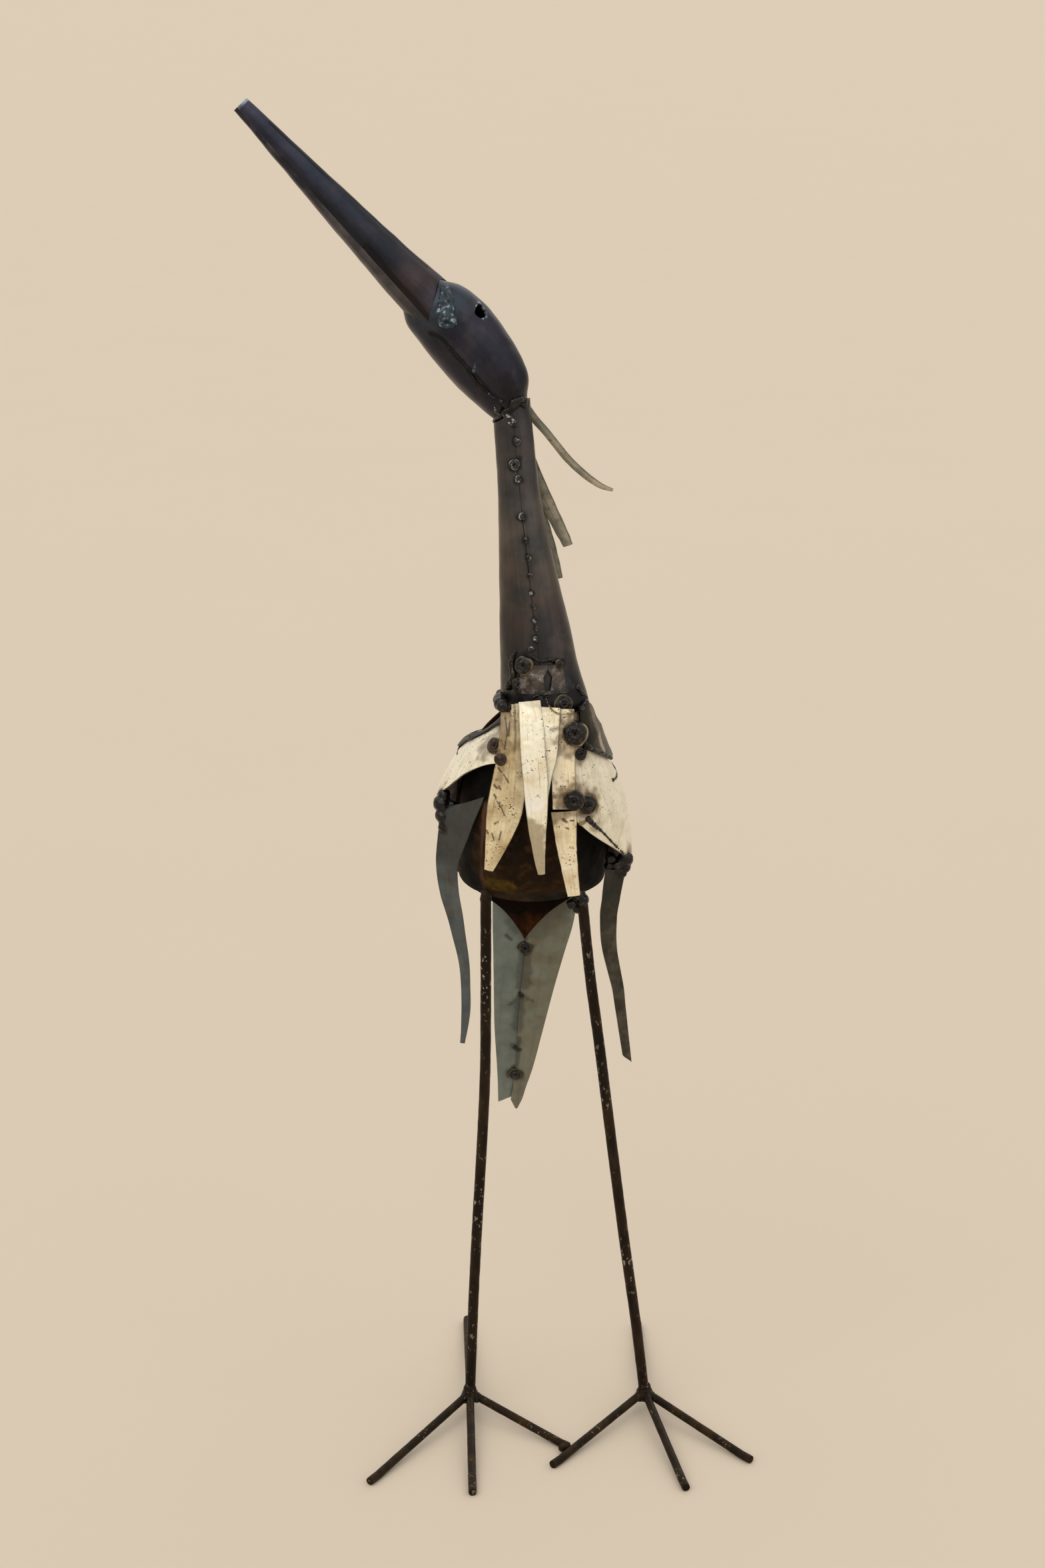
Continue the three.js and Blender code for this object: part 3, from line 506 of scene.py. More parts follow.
# %% The head's two halves
HEAD_BACK = np.array([-10.9, -52, 993.9])
HEAD_AXIS = np.array([-0.597, -0.015, 0.802])
HEAD_AXIS /= np.linalg.norm(HEAD_AXIS)
HEAD_RISE = np.array([0.802, 0, 0.597])
HEAD_LENGTH = 127
CROWN_HEIGHTS = [19, 30.5, 35.5, 38, 39, 39.5, 39, 36, 31, 21]
JAW_DEPTHS = [14, 17.5, 20.5, 23, 24.6, 25.6, 26, 26, 25.5, 20]
HEAD_HALF_WIDTHS = [15, 21, 25.5, 28, 29, 29, 28, 26, 23, 18.5]
SEAM_DROPS = [0, 1, 7, 16, 30, 32]
JAW_DROPS = [-5, -4, 2, 9, 12, 4]
CHEEK = 0.72
JAW_INSET = 4.3
EYE_ALONG, EYES = 0.68, ((60, -48), (150, 48))


def head_point(along, turn, inset=0.0):
    up = math.sin(turn)
    height = through(CROWN_HEIGHTS if up > 0 else JAW_DEPTHS, along)
    half = through(HEAD_HALF_WIDTHS, along)
    point = HEAD_BACK + HEAD_AXIS * along * HEAD_LENGTH + HEAD_RISE * (height - inset) * up
    return point - np.array([0, (half - inset) * math.cos(turn), 0])


def brow_line(u, v):
    return v * lerp(CHEEK, 1, math.sin(math.pi * u) ** 0.6 if 0 < u < 1 else 0)


def crown_surface(u, v):
    along = brow_line(u, v)
    drop = math.radians(through(SEAM_DROPS, along))
    return head_point(along, lerp(-drop, math.pi + drop, u))


def jaw_surface(u, v):
    along = brow_line(u, v)
    drop = math.radians(through(JAW_DROPS, along))
    return head_point(along, lerp(math.pi + drop, 2 * math.pi - drop, u), JAW_INSET * abs(1 - 2 * u))


HEAD_MIDDLE = HEAD_BACK + HEAD_AXIS * HEAD_LENGTH / 2
crown = sheet_piece("head_crown_shell", crown_surface, 110, 96, dent=0.5, dent_size=24, hub=HEAD_MIDDLE)
jaw = sheet_piece("head_jaw_shell", jaw_surface, 70, 80, dent=0.5, dent_size=24, hub=HEAD_MIDDLE)

# %% The eyes, two teardrop holes
def teardrop(steps=8):
    corners = [((0, 7.8), (-6.6, 0), (-5.3, -4.3)), ((-5.3, -4.3), (0, -10.3), (5.3, -4.3)),
               ((5.3, -4.3), (6.6, 0), (0, 7.8))]
    outline = []
    for a, b, c in corners:
        for i in range(steps):
            t = i / steps
            weights = ((1 - t) ** 2, 2 * t * (1 - t), t * t)
            outline.append(tuple(sum(w * p[k] for w, p in zip(weights, (a, b, c))) / 1000 for k in (0, 1)))
    return outline


eye_rims = []
for turn, tilt in EYES:
    place = head_point(EYE_ALONG, math.radians(turn))
    out = place - HEAD_BACK - HEAD_AXIS * EYE_ALONG * HEAD_LENGTH
    out /= np.linalg.norm(out)
    lengthways = HEAD_AXIS - out * HEAD_AXIS.dot(out)
    lengthways /= np.linalg.norm(lengthways)
    lean = math.radians(tilt)
    lengthways = lengthways * math.cos(lean) + np.cross(out, lengthways) * math.sin(lean)
    axes = Matrix([Vector(a) for a in (-np.cross(out, lengthways), lengthways, out)]).transposed().to_4x4()
    to_eye = Matrix.Translation(Vector(placed(place))) @ axes
    cut_with(crown, teardrop(), to_eye, 0.02)
    eye_rims += [to_eye @ Vector((x, y, 0)) for x, y in teardrop(3)]
finished(crown, head_steel, "head", "head_crown")
finished(jaw, head_steel, "head", "head_jaw")

# %% The beak's two blades
BEAK_BASE = np.array([-84.6, -53, 1094.2])
BEAK_AXIS = np.array([-0.6795, -0.085, 0.7287])
BEAK_AXIS /= np.linalg.norm(BEAK_AXIS)
BEAK_RISE = np.array([0.731, 0, 0.682])
BEAK_LENGTH = 219
BEAK_BASE_HEIGHT = 40
BEAK_TIP_HEIGHT = 12.8
MOUTH_LINE = 0.5
TUCK = 1.2
CHEEK_REACH = 0.13


def beak_point(t, up, aside):
    return BEAK_BASE + BEAK_AXIS * t * BEAK_LENGTH + BEAK_RISE * up + np.array([0, -aside, 0])


def beak_measures(u, v):
    t = lerp(-CHEEK_REACH * max(0, 1 - math.sin(math.pi * u)) ** 0.7, 1, v)
    top = lerp(BEAK_BASE_HEIGHT / 2 - 0.5, BEAK_TIP_HEIGHT / 2, t)
    mouth = -top * MOUTH_LINE * lerp(1, 1.3, t)
    root = 1 - smoothstep(t, 0, 0.2)
    return t, top + 1.6 * root, mouth, (18 - 58 * t if t < 0 else lerp(18, 6, t)) + 2.4 * root


def beak_upper_surface(u, v):
    t, top, mouth, half = beak_measures(u, v)
    ups = [mouth, lerp(mouth, top, 0.3), lerp(mouth, top, 0.7), top * 0.93, top, lerp(mouth, top, 0.55),
           mouth]
    return beak_point(t, through(ups, u), half * through([0.86, 1, 0.72, 0.24, -0.24, -0.9, -0.86], u))


def beak_lower_surface(u, v):
    t, top, mouth, half = beak_measures(u, v)
    bottom = -through([BEAK_BASE_HEIGHT / 2, 17.4, 13.8, 10, BEAK_TIP_HEIGHT / 2], t)
    ups = [mouth + TUCK, lerp(mouth, bottom, 0.55), bottom, lerp(mouth, bottom, 0.55), mouth + TUCK]
    edge = half * 0.86 - SHEET - 0.3
    return beak_point(t, through(ups, u), through([edge, half * 0.66, 0, -half * 0.66, -edge], u))


BEAK_MIDDLE = BEAK_BASE + BEAK_AXIS * BEAK_LENGTH / 2
beak_upper = sheet_piece("beak_upper_blade", beak_upper_surface, 70, 150, dent=0.45, dent_size=30,
                         hub=BEAK_MIDDLE)
beak_lower = sheet_piece("beak_lower_blade", beak_lower_surface, 40, 140, dent=0.45, dent_size=22, ragged=0.8,
                         hub=BEAK_MIDDLE)
finished(beak_upper, blued_steel, "beak", "beak_upper")
finished(beak_lower, greyed_steel, "beak", "beak_lower")

# %% [markdown]
# ## Strips: feathers and plumes
# Every feather is a strip cut with tin snips and bent by hand. A spine of a few points carries it, with its
# width at each of them. It faces one way, or turns to another, and its ends may be cut off at an angle.
# The snips leave a slight curl along the edges.

# %% A strip along a spine
def strip_surface(spine, widths, facing=(0, -1, 0), turned=None, crown=1.0, mitre=0.0, slant=0.0, curl=0.5):
    spine = [np.array(p, dtype=float) for p in spine]
    start = np.array(facing, dtype=float)
    finish = np.array(turned, dtype=float) if turned else start

    def surface(u, v):
        point, tangent = spine_at(spine, v)
        side = np.cross(lerp(start, finish, min(2.5 * v, 1)), tangent)
        side /= np.linalg.norm(side)
        outward = np.cross(tangent, side)
        offset = (u - 0.5) * through(widths, v)
        point = point + side * offset
        point = point + outward * (crown * (1 - (2 * u - 1) ** 2) + curl * abs(2 * u - 1) ** 6)
        return point + tangent * offset * (slant * max(0, 6 * v - 5) - mitre * max(0, 1 - 6 * v))

    return surface


print("a strip needs a spine and its widths")

# %% [markdown]
# The thin plumes behind the head and the neck are strips of old painted sheet. The paint has gone chalky
# grey-green to cream, with thin dark lines along the strip.

# %% Chalky old paint on strip
def chalky_paint(name, ground, tints, rough=0.45):
    material, tree = new_finish(name)
    tone = ground
    for i, (tint, size, share) in enumerate(tints):
        tone = layer(tree, tone, tint, patches(tree, size, share, 0.12, seed=1.7 + 4 * i))
    lines = patches(tree, 4, 0.2, 0.06, stretch=(0.35, 14, 1), seed=5.0, strip=True)
    tone = layer(tree, tone, "#39382f", lines, 0.45)
    # soot round the wing tip welds, and painted shade on the plumes' tops under the wings
    tone = layer(tree, tone, "#1c1a17", "soot_and_shade", 0.9)
    # dark snipped edge, which also stands for painted shade in the gaps round each strip
    tone = layer(tree, tone, "#3a382f", "cut", 0.7)
    chalk = patches(tree, 5, 0.5, 0.3, seed=8.0)
    bumps = patches(tree, 2.5, 0.5, 0.5, seed=4.0, detail=8.0)
    return surfaced(material, tone, 0.35, chalk, (rough - 0.08, rough + 0.16), bumps, 0.08)


chalk_green = chalky_paint("old paint on strip, chalky grey-green", "#a9a493", [
    ("#868c7f", 18, 0.4), ("#c0b7a6", 24, 0.3), ("#78756a", 6, 0.15)])
PLUMES = {
    "crest_plume": ([[1, -49, 1001], [10.5, -46, 988], [24.5, -43, 971], [39.3, -39, 952], [55.5, -35, 936],
                     [69, -31, 926], [79, -28, 922]],
                    [8, 7.5, 7, 7, 6.5, 5, 2], (-0.35, -0.9, -0.25), 0.6),
    "neck_plume_upper": ([[2, -37, 962], [13.5, -36, 930], [26, -33, 903], [35, -30, 884], [40.5, -28, 872]],
                         [11, 13, 12, 10.5, 8.6], (-0.3, -0.95, 0), 0.7),
    "neck_plume_lower": ([[9, -31, 918], [18, -29, 893], [26, -28, 868], [33, -27, 842]],
                         [10, 10.5, 9, 6], (-0.3, -0.95, 0), 0.6),
}
for plume_name, (spine, widths, facing, crown_height) in PLUMES.items():
    surface = strip_surface(spine, widths, facing, crown=crown_height, curl=0.3)
    plume = sheet_piece(plume_name + "_strip", surface, 10, 90, dent=0.25, dent_size=16, ragged=0.35)
    finished(plume, chalk_green, "plumes", plume_name)

# %% [markdown]
# ## The body's two shells
# The belly is a deep dish, and behind it a leaf-shaped back dish runs out in a point below. Both are
# slices stacked by height: each has a middle, a half width, a front and a back.

# %% Slices of the body
MIDDLE_X = [(760, 19), (740, 22), (715, 19), (700, 13.2), (684, 11), (662, 9.4), (643, 8.6), (600, 8.5),
            (540, 8), (457, 2)]
HULL = {
    "half": [(760, 37), (735, 40), (700, 51), (650, 63), (600, 67), (560, 67), (543, 63), (505, 50),
             (457, 26)],
    "front": [(760, -100), (735, -105), (700, -109), (650, -101), (600, -84), (560, -61), (543, -44),
              (457, -10)],
    "back": [(760, -28), (740, -6), (715, 14), (680, 36), (640, 56), (600, 70), (560, 79), (505, 86),
             (457, 87)],
}
HULL_MIDDLE = [(760, -65), (735, -58), (700, -42), (650, -18), (600, 0), (543, 12), (457, 24)]


def slice_point(z, turn, shape, square=2.0, lift=0.0):
    middle = between(HULL_MIDDLE, z)
    s, c = math.sin(turn), math.cos(turn)
    depth = middle - between(shape["front"], z) if c > 0 else between(shape["back"], z) - middle
    bulge = [math.copysign(abs(k) ** (2 / square), k) for k in (s, c)]
    x = between(MIDDLE_X, z) + (between(shape["half"], z) + lift) * bulge[0]
    return np.array([x, middle - (depth + lift) * bulge[1], z])


def belly_surface(u, v):
    turn = math.radians(lerp(-98, 98, u))
    rim = 546 + 8 * math.sin(turn) ** 2
    top = 736 - 36 * math.sin(turn) ** 4
    return slice_point(lerp(top, rim, v), turn, HULL)


BACK_STAND_OFF = 3.4
BACK_EDGE = [(80, 588), (95, 560), (115, 530), (135, 508), (150, 492), (165, 474), (180, 457)]


def back_surface(u, v):
    degrees = lerp(82, 278, u)
    from_front = degrees if degrees <= 180 else 360 - degrees
    high = lerp(690, 756, smoothstep(from_front, 112, 168))
    return slice_point(lerp(high, between(BACK_EDGE, from_front), v), math.radians(degrees), HULL,
                       lift=BACK_STAND_OFF)


# %% [markdown]
# Drum steel that has stood outside goes rust-brown and matt. The belly keeps a yellowish rest of its old
# paint low on the front, and the inside of the back dish is orange rust. Near-black painted shade darkens
# the belly's two sides and the back dish's top under the belly's rim.

# %% Rusty drum steel
material, tree = new_finish("drum steel, rusted brown")
tone = layer(tree, "#271808", "#170d06", patches(tree, 26, 0.5, 0.12, seed=2.0))
tone = layer(tree, tone, "#38250f", patches(tree, 9, 0.2, 0.1, seed=7.0, detail=8.0))
tone = layer(tree, tone, "#614538", "red_rust", 0.7)
worn_paint = layer(tree, tone, "#5b470f", patches(tree, 7, 0.6, 0.2, seed=11.0), 0.75)
tone = layer(tree, tone, worn_paint, "old_paint")
inner = layer(tree, "#4a2408", "#241205", patches(tree, 14, 0.5, 0.14, seed=4.0))
tone = layer(tree, tone, inner, "inside")
# painted shade: near-black on the belly's sides and on the back dish's top under the belly's rim
tone = layer(tree, tone, "#030202", "soot_and_shade")
damp = patches(tree, 12, 0.5, 0.3, seed=8.0)
bumps = patches(tree, 3, 0.5, 0.5, seed=4.0, detail=10.0)
rusty_steel = surfaced(material, tone, 0, damp, (0.6, 0.85), bumps, 0.2, specular=0.08)

belly = sheet_piece("belly_dish", belly_surface, 110, 84, dent=1.0, dent_size=36)
back = sheet_piece("back_dish", back_surface, 110, 100, dent=1.0, dent_size=36)
finished(belly, rusty_steel, "belly", "belly_shell")
finished(back, rusty_steel, "back", "back_shell")

# %% [markdown]
# ## Lacquered tin
# Wings and chest feathers are cut from tins: bright plate under a cream-gold lacquer. It is glossy where it
# is clean, smudged brown by handling, scratched along its length, flecked with dark spatter, and black with
# soot round every weld. One function makes the bright, the warm, the golden and the pale greenish kind.

# %% Tin with its lacquer
def lacquered_tin(name, ground, light, smudge, smudge_share, marks_share):
    material, tree = new_finish(name)
    tone = layer(tree, ground, light, patches(tree, 30, 0.5, 0.14, seed=1.0))
    brushed = patches(tree, 6, 0.5, 0.2, stretch=(0.3, 9, 1), seed=3.0, strip=True)
    tone = layer(tree, tone, smudge, brushed, 0.2)
    tone = layer(tree, tone, smudge, patches(tree, 16, smudge_share, 0.14, seed=6.0, detail=7.0), 0.6)
    scratches = patches(tree, 2.2, 0.12, 0.03, stretch=(0.35, 12, 1), seed=9.0, strip=True)
    tone = layer(tree, tone, "#6b5a3c", scratches, 0.5)
    flecks = patches(tree, 2.1, marks_share, 0.02, stretch=(1, 1.6, 1), seed=12.0, detail=1.5)
    gathered = blend(tree, "MULTIPLY", flecks, patches(tree, 24, 0.5, 0.1, seed=14.0))
    tone = layer(tree, tone, "#2a2118", gathered)
    uneven = blend(tree, "MULTIPLY", patches(tree, 7, 0.5, 0.3, seed=16.0), 0.5)
    singed = layer(tree, tone, "#6f583c", blend(tree, "ADD", uneven, 0.6), 0.9)
    tone = layer(tree, tone, singed, "scorch")
    # greyer patches: the middle feather's lower end and a band along the right wing's hem
    tone = layer(tree, tone, "#9a8a6c", "greyer_patch", 0.85)
    # painted highlight: a near-white patch on the middle feather
    tone = layer(tree, tone, "#ffffff", "painted_highlight", 0.8)
    tone = layer(tree, tone, "#433421", "scuffs", 0.85)
    # dark snipped edge, which also stands for painted shade in the gaps round each strip
    tone = layer(tree, tone, "#3b3021", "cut", 0.7)
    tone = layer(tree, tone, "#191512", "soot_and_shade")
    # painted shade: the inner skin of wings and feathers is dark brown-black
    inner = layer(tree, "#2c241c", "#15110d", patches(tree, 12, 0.5, 0.1, seed=18.0))
    tone = layer(tree, tone, inner, "inside")
    handled = patches(tree, 8, 0.5, 0.3, seed=20.0)
    bumps = patches(tree, 5, 0.5, 0.5, stretch=(0.6, 3, 1), seed=22.0, strip=True)
    return surfaced(material, tone, 0.25, handled, (0.26, 0.5), bumps, 0.12)


bright_tin = lacquered_tin("tinplate, bright cream lacquer", "#fcf5db", "#fffdf0", "#cdb88a", 0.08, 0.01)
warm_tin = lacquered_tin("tinplate, warm cream lacquer", "#faecc8", "#fff9e4", "#b49868", 0.16, 0.06)
golden_tin = lacquered_tin("tinplate, golden lacquer", "#dbc79b", "#f8ecc8", "#8a6f48", 0.34, 0.1)
pale_tin = lacquered_tin("tinplate, pale greenish lacquer", "#ebe5cf", "#f8f3e1", "#b3aa8e", 0.16, 0.0)

# %% [markdown]
# ## Wings and shoulders
# A wing is a bent plate that stands off the body, with a hem that was measured at a few angles round it.
# A second plate of charred steel lies over its root, broad on the right and a mere strip on the left.

# %% The wing plates
LEFT_WING_HALF = [(760, 34), (745, 35), (727, 39), (715, 46), (700, 56), (684, 66), (662, 77), (643, 85.5),
                  (620, 90)]
WING = {
    "half": [(760, 34), (745, 35), (727, 39), (715, 46), (700, 55), (684, 63), (662, 72), (643, 81),
             (620, 87), (574, 92), (556, 93)],
    "front": [(760, -98), (740, -104), (700, -109), (641, -107), (602, -90), (579, -70), (556, -60)],
    "back": [(760, -20), (740, 4), (715, 24), (680, 46), (640, 66), (600, 80), (556, 90)],
}
TOP_FALL = 50
WING_SQUARENESS = 2.6
SHOULDER_STAND_OFF = 3.6
LEFT_HEM = [(22, 694), (40, 689), (58, 676), (72, 657), (82, 646), (115, 614), (148, 606)]
RIGHT_HEM = [(21, 641), (33, 622), (50, 602), (68, 583), (84, 574), (115, 548), (148, 556)]
LEFT_SHOULDER_HEM = [(50, 729), (66, 724), (76, 716), (90, 697), (100, 684), (115, 676), (150, 672)]
RIGHT_SHOULDER_HEM = [(38, 706), (62, 694), (84, 681), (110, 670), (150, 668)]


def plate_surface(side, top, hem, front, behind, lift=0.0):
    shape = WING if side > 0 else {**WING, "half": LEFT_WING_HALF}

    def surface(u, v):
        degrees = lerp(lerp(front[0], front[1], v), behind, u)
        high = top - TOP_FALL * smoothstep(degrees, 60, 112)
        z = lerp(high, between(hem, degrees), v)
        return slice_point(z, side * math.radians(degrees), shape, WING_SQUARENESS, lift)

    return surface


wing_left = sheet_piece("wing_left_plate", plate_surface(-1, 738, LEFT_HEM, (44, 22), 148), 90, 64,
                        dent=0.8, dent_size=30, ragged=0.6)
wing_right = sheet_piece("wing_right_plate", plate_surface(1, 738, RIGHT_HEM, (31, 21), 148), 90, 84,
                         dent=0.8, dent_size=30, ragged=0.6)
shoulder_left = sheet_piece(
    "shoulder_left_plate", plate_surface(-1, 736, LEFT_SHOULDER_HEM, (50, 50), 150, SHOULDER_STAND_OFF),
    80, 24, dent=0.7, dent_size=16, ragged=1.0)
shoulder_right = sheet_piece(
    "shoulder_right_plate", plate_surface(1, 744, RIGHT_SHOULDER_HEM, (38, 38), 150, SHOULDER_STAND_OFF),
    80, 40, dent=0.7, dent_size=22, ragged=1.0)
finished(wing_left, bright_tin, "wings", "wing_left")
finished(wing_right, pale_tin, "wings", "wing_right")
finished(shoulder_left, charred_steel, "shoulders", "shoulder_left")
finished(shoulder_right, charred_steel, "shoulders", "shoulder_right")

# %% [markdown]
# ## Chest feathers
# Five strips hang from the foot of the neck. The middle one is the longest and brightest. The left one is
# golden, and crumpled into a rib near its top.

# %% The five chest feathers
CHEST = {
    "chest_feather_middle": (
        [[6, -105.5, 750], [8, -113, 728], [9.5, -118, 705], [11.5, -118.5, 680], [12.7, -116, 650],
         [14, -111, 620], [16.8, -105, 592]],
        [19, 21, 22, 22, 18.5, 12.5, 6.3], 1.2, bright_tin),
    "chest_feather_left": (
        [[-11, -100, 746], [-10, -106.5, 728], [-10, -109, 700], [-12, -109, 680], [-16, -107, 650],
         [-23, -101, 619], [-30, -94, 592]],
        [16, 19, 25, 29, 31, 20, 8], 1.2, golden_tin),
    "chest_feather_behind": (
        [[23, -107, 745], [22, -112, 728], [21, -114.5, 705], [20, -115, 685], [20, -114, 662]],
        [20, 20.5, 19, 12, 5], 0.6, bright_tin),
    "chest_feather_right_upper": (
        [[35, -102, 742], [35, -107.5, 725], [35.5, -110, 700], [36, -110, 675], [36.5, -108, 653]],
        [20, 21, 21, 21, 20], 0.8, warm_tin),
    "chest_feather_right_lower": (
        [[36.5, -104.5, 650], [38.5, -100, 622], [42, -93, 592], [46, -86, 565]],
        [23.5, 19, 15, 11.8], 0.8, warm_tin),
}
RIB_HEIGHT = 2.4
feathers = {}
for feather_name, (spine, widths, crown_height, tin) in CHEST.items():
    surface = strip_surface(spine, widths, crown=crown_height)
    if feather_name == "chest_feather_left":
        plain = surface

        def surface(u, v, plain=plain):
            rib = math.exp(-((u - 0.62 + 0.25 * v) / 0.07) ** 2) * smoothstep(0.42 - v, 0, 0.3)
            return plain(u, v) - np.array([0, RIB_HEIGHT * rib, 0])

    feather = sheet_piece(feather_name + "_strip", surface, 38, 190, dent=0.5, dent_size=14, ragged=0.5)
    feathers[feather_name] = finished(feather, tin, "chest_feathers", feather_name)

# %% [markdown]
# ## Wing plumes
# A long curved strip hangs from each wing tip, blue-grey on the bird's one side and a darker grey-green on
# the other. The left one has a broad root that turns in under the wing.

# %% The two wing plumes
slate_paint = chalky_paint("old paint on strip, slate blue", "#50575b", [
    ("#41474a", 18, 0.4), ("#5c6366", 26, 0.3), ("#4d4a3f", 9, 0.15)], 0.4)
dark_green_paint = chalky_paint("old paint on strip, dark grey-green", "#3b372b", [
    ("#28251b", 18, 0.45), ("#504a3d", 12, 0.3), ("#211e16", 8, 0.2)], 0.4)
left_surface = strip_surface(
    [[-51.5, -63, 644], [-58, -57, 627], [-63.5, -48, 605], [-68.4, -41, 579], [-66.5, -37, 550],
     [-60, -35, 518], [-54.5, -35, 487], [-52.5, -35, 460], [-52.6, -35, 430], [-55.6, -35, 402]],
    [36, 35, 28, 20.5, 17, 13.2, 10, 8.6, 8, 4], (-0.75, -0.66, 0), (-0.1, -1, 0), 1.2, 1.3)
right_surface = strip_surface(
    [[85, -32, 571], [81, -31, 545], [79, -30, 525], [79, -30, 503], [83, -30, 478], [88, -30, 455],
     [91.5, -30, 428], [97.4, -30, 384]],
    [19, 17, 16, 14.5, 12.5, 11, 9.5, 7.5], (0.2, -1, 0), None, 1.2, 0, 1.2)
plume_left = sheet_piece("wing_plume_left_strip", left_surface, 22, 150, dent=0.4, dent_size=20, ragged=0.5)
plume_right = sheet_piece("wing_plume_right_strip", right_surface, 20, 130, dent=0.4, dent_size=20,
                          ragged=0.5)
finished(plume_left, slate_paint, "wing_plumes", "wing_plume_left")
finished(plume_right, dark_green_paint, "wing_plumes", "wing_plume_right")

# %% [markdown]
# ## The tail
# Two leaves of galvanised sheet lie edge to edge and are tacked down the middle. Zinc crystals give
# galvanised steel a faint spangle of flat facets, which a Voronoi pattern draws at their real size.

# %% Galvanised sheet
SPANGLE = 7


def galvanised(name, ground, tints):
    material, tree = new_finish(name)
    tone = ground
    for i, (tint, size, share) in enumerate(tints):
        tone = layer(tree, tone, tint, patches(tree, size, share, 0.14, seed=2.2 + 3 * i))
    coordinates = node(tree, "ShaderNodeTexCoord")
    spangle = node(tree, "ShaderNodeTexVoronoi", {
        "Vector": coordinates.outputs["Object"], "Scale": 1000 / SPANGLE, "Randomness": 1.0})
    grey = node(tree, "ShaderNodeSeparateColor", {"Color": spangle.outputs["Color"]}).outputs[0]
    tone = layer(tree, tone, "#8d9590", grey, 0.18)
    runs = patches(tree, 9, 0.2, 0.1, stretch=(0.5, 6, 1), seed=9.0, strip=True)
    tone = layer(tree, tone, "#4a483f", runs, 0.2)
    tone = layer(tree, tone, "#1b1a17", "soot_and_shade")
    bumps = patches(tree, 6, 0.5, 0.5, seed=4.0, detail=6.0)
    return surfaced(material, tone, 0.55, grey, (0.38, 0.52), bumps, 0.08)


blue_zinc = galvanised("galvanised sheet, blue-grey", "#727d7c", [("#646f6e", 30, 0.4), ("#808a87", 20, 0.3)])
warm_zinc = galvanised("galvanised sheet, weathered warm", "#7b796a", [
    ("#6a6757", 34, 0.4), ("#7d8378", 20, 0.35)])
TAIL_SPINE = [np.array(p, dtype=float) for p in (
    [6.8, 96, 500], [4.7, 98, 472], [2.7, 103, 445], [-1, 118, 400], [-4.5, 142, 345], [-7.1, 170, 290],
    [-11, 194, 246])]
TAIL_FOLD = 0.12


def tail_surface(side, widths, tip_drop):
    def surface(u, v):
        reach = 0.02 + u * (through(widths, v) + 0.5)
        point = through(TAIL_SPINE, v) + np.array([side * reach, -reach * TAIL_FOLD, 0])
        return point + np.array([0, 0, tip_drop(u) * max(0, 10 * v - 9)])

    return surface


def pointed_tip(u):
    return -20 * min(u, 1 - u)


def slanted_tip(u):
    return 2 - 5 * u


right_surface = tail_surface(1, [46, 43.5, 38.5, 31.8, 24.4, 16.4, 8.5], pointed_tip)
left_surface = tail_surface(-1, [35, 33, 30.6, 26.6, 22.7, 18, 13], slanted_tip)
tail_right = sheet_piece("tail_right_leaf", right_surface, 36, 130, dent=0.5, dent_size=40, ragged=0)
tail_left = sheet_piece("tail_left_leaf", left_surface, 36, 130, dent=0.5, dent_size=40, ragged=0)
finished(tail_left, blue_zinc, "tail", "tail_leaf_left")
finished(tail_right, warm_zinc, "tail", "tail_leaf_right")

# %% [markdown]
# ## Legs and toes
# Round bar, bent a little at the knee. A rod is a ring of points carried along a spine, with its end
# slightly rounded by a file. The rods keep their mill scale, dark brown and oily, with pale flecks where it
# has chipped.

# %% A rod along a spine
LEG_ROD, TOE_ROD = 10, 8


def rod_mesh(spine, radius, sides=24, spacing=3.0):
    spine = [np.array(p, dtype=float) for p in spine]
    length = sum(np.linalg.norm(b - a) for a, b in zip(spine, spine[1:]))
    steps = max(8, round(length / spacing))
    stations = [(0, 0.72), (0.0025, 0.95)] + [(i / steps, 1) for i in range(1, steps)]
    stations += [(0.9975, 0.95), (1, 0.72)]
    vertices, faces = [], []
    for t, scale in stations:
        point, tangent = spine_at(spine, t)
        upright = np.array([0, 1, 0]) if abs(tangent[2]) > 0.8 else np.array([0, 0, 1])
        side = np.cross(tangent, upright)
        side /= np.linalg.norm(side)
        up = np.cross(side, tangent)
        for i in range(sides):
            turn = 2 * math.pi * i / sides
            spoke = side * math.sin(turn) + up * math.cos(turn)
            rough = 1 + 0.035 * noise.noise(Vector((point + spoke * 4) / 7))
            vertices.append(point + spoke * radius * scale * rough)
    rings = len(stations)
    for j in range(rings - 1):
        for i in range(sides):
            a, b = j * sides + i, j * sides + (i + 1) % sides
            faces.append((a, b, b + sides, a + sides))
    faces.append(tuple(range(sides))[::-1])
    faces.append(tuple((rings - 1) * sides + i for i in range(sides)))
    return vertices, faces


def rod_piece(node_name, spine, radius, material, slot_name):
    vertices, faces = rod_mesh(spine, radius)
    return finished(as_object(node_name + "_rod", placed(vertices), faces), material, slot_name, node_name)


def scaled_rod(name, ground, worn, chips):
    material, tree = new_finish(name)
    tone = layer(tree, ground, worn, patches(tree, 22, 0.4, 0.12, stretch=(1, 1, 3), seed=1.0))
    tone = layer(tree, tone, "#16110c", patches(tree, 12, 0.3, 0.1, stretch=(1, 1, 4), seed=4.0))
    flecks = patches(tree, 3.2, chips, 0.03, stretch=(1, 1, 1.8), seed=8.0, detail=2.0)
    gathered = blend(tree, "MULTIPLY", flecks, patches(tree, 50, 0.4, 0.1, seed=10.0))
    tone = layer(tree, tone, "#8f8674", gathered)
    oil = patches(tree, 9, 0.5, 0.3, seed=12.0)
    bumps = patches(tree, 2.6, 0.5, 0.5, seed=4.0, detail=10.0)
    return surfaced(material, tone, 0.1, oil, (0.36, 0.6), bumps, 0.15, specular=0.12)


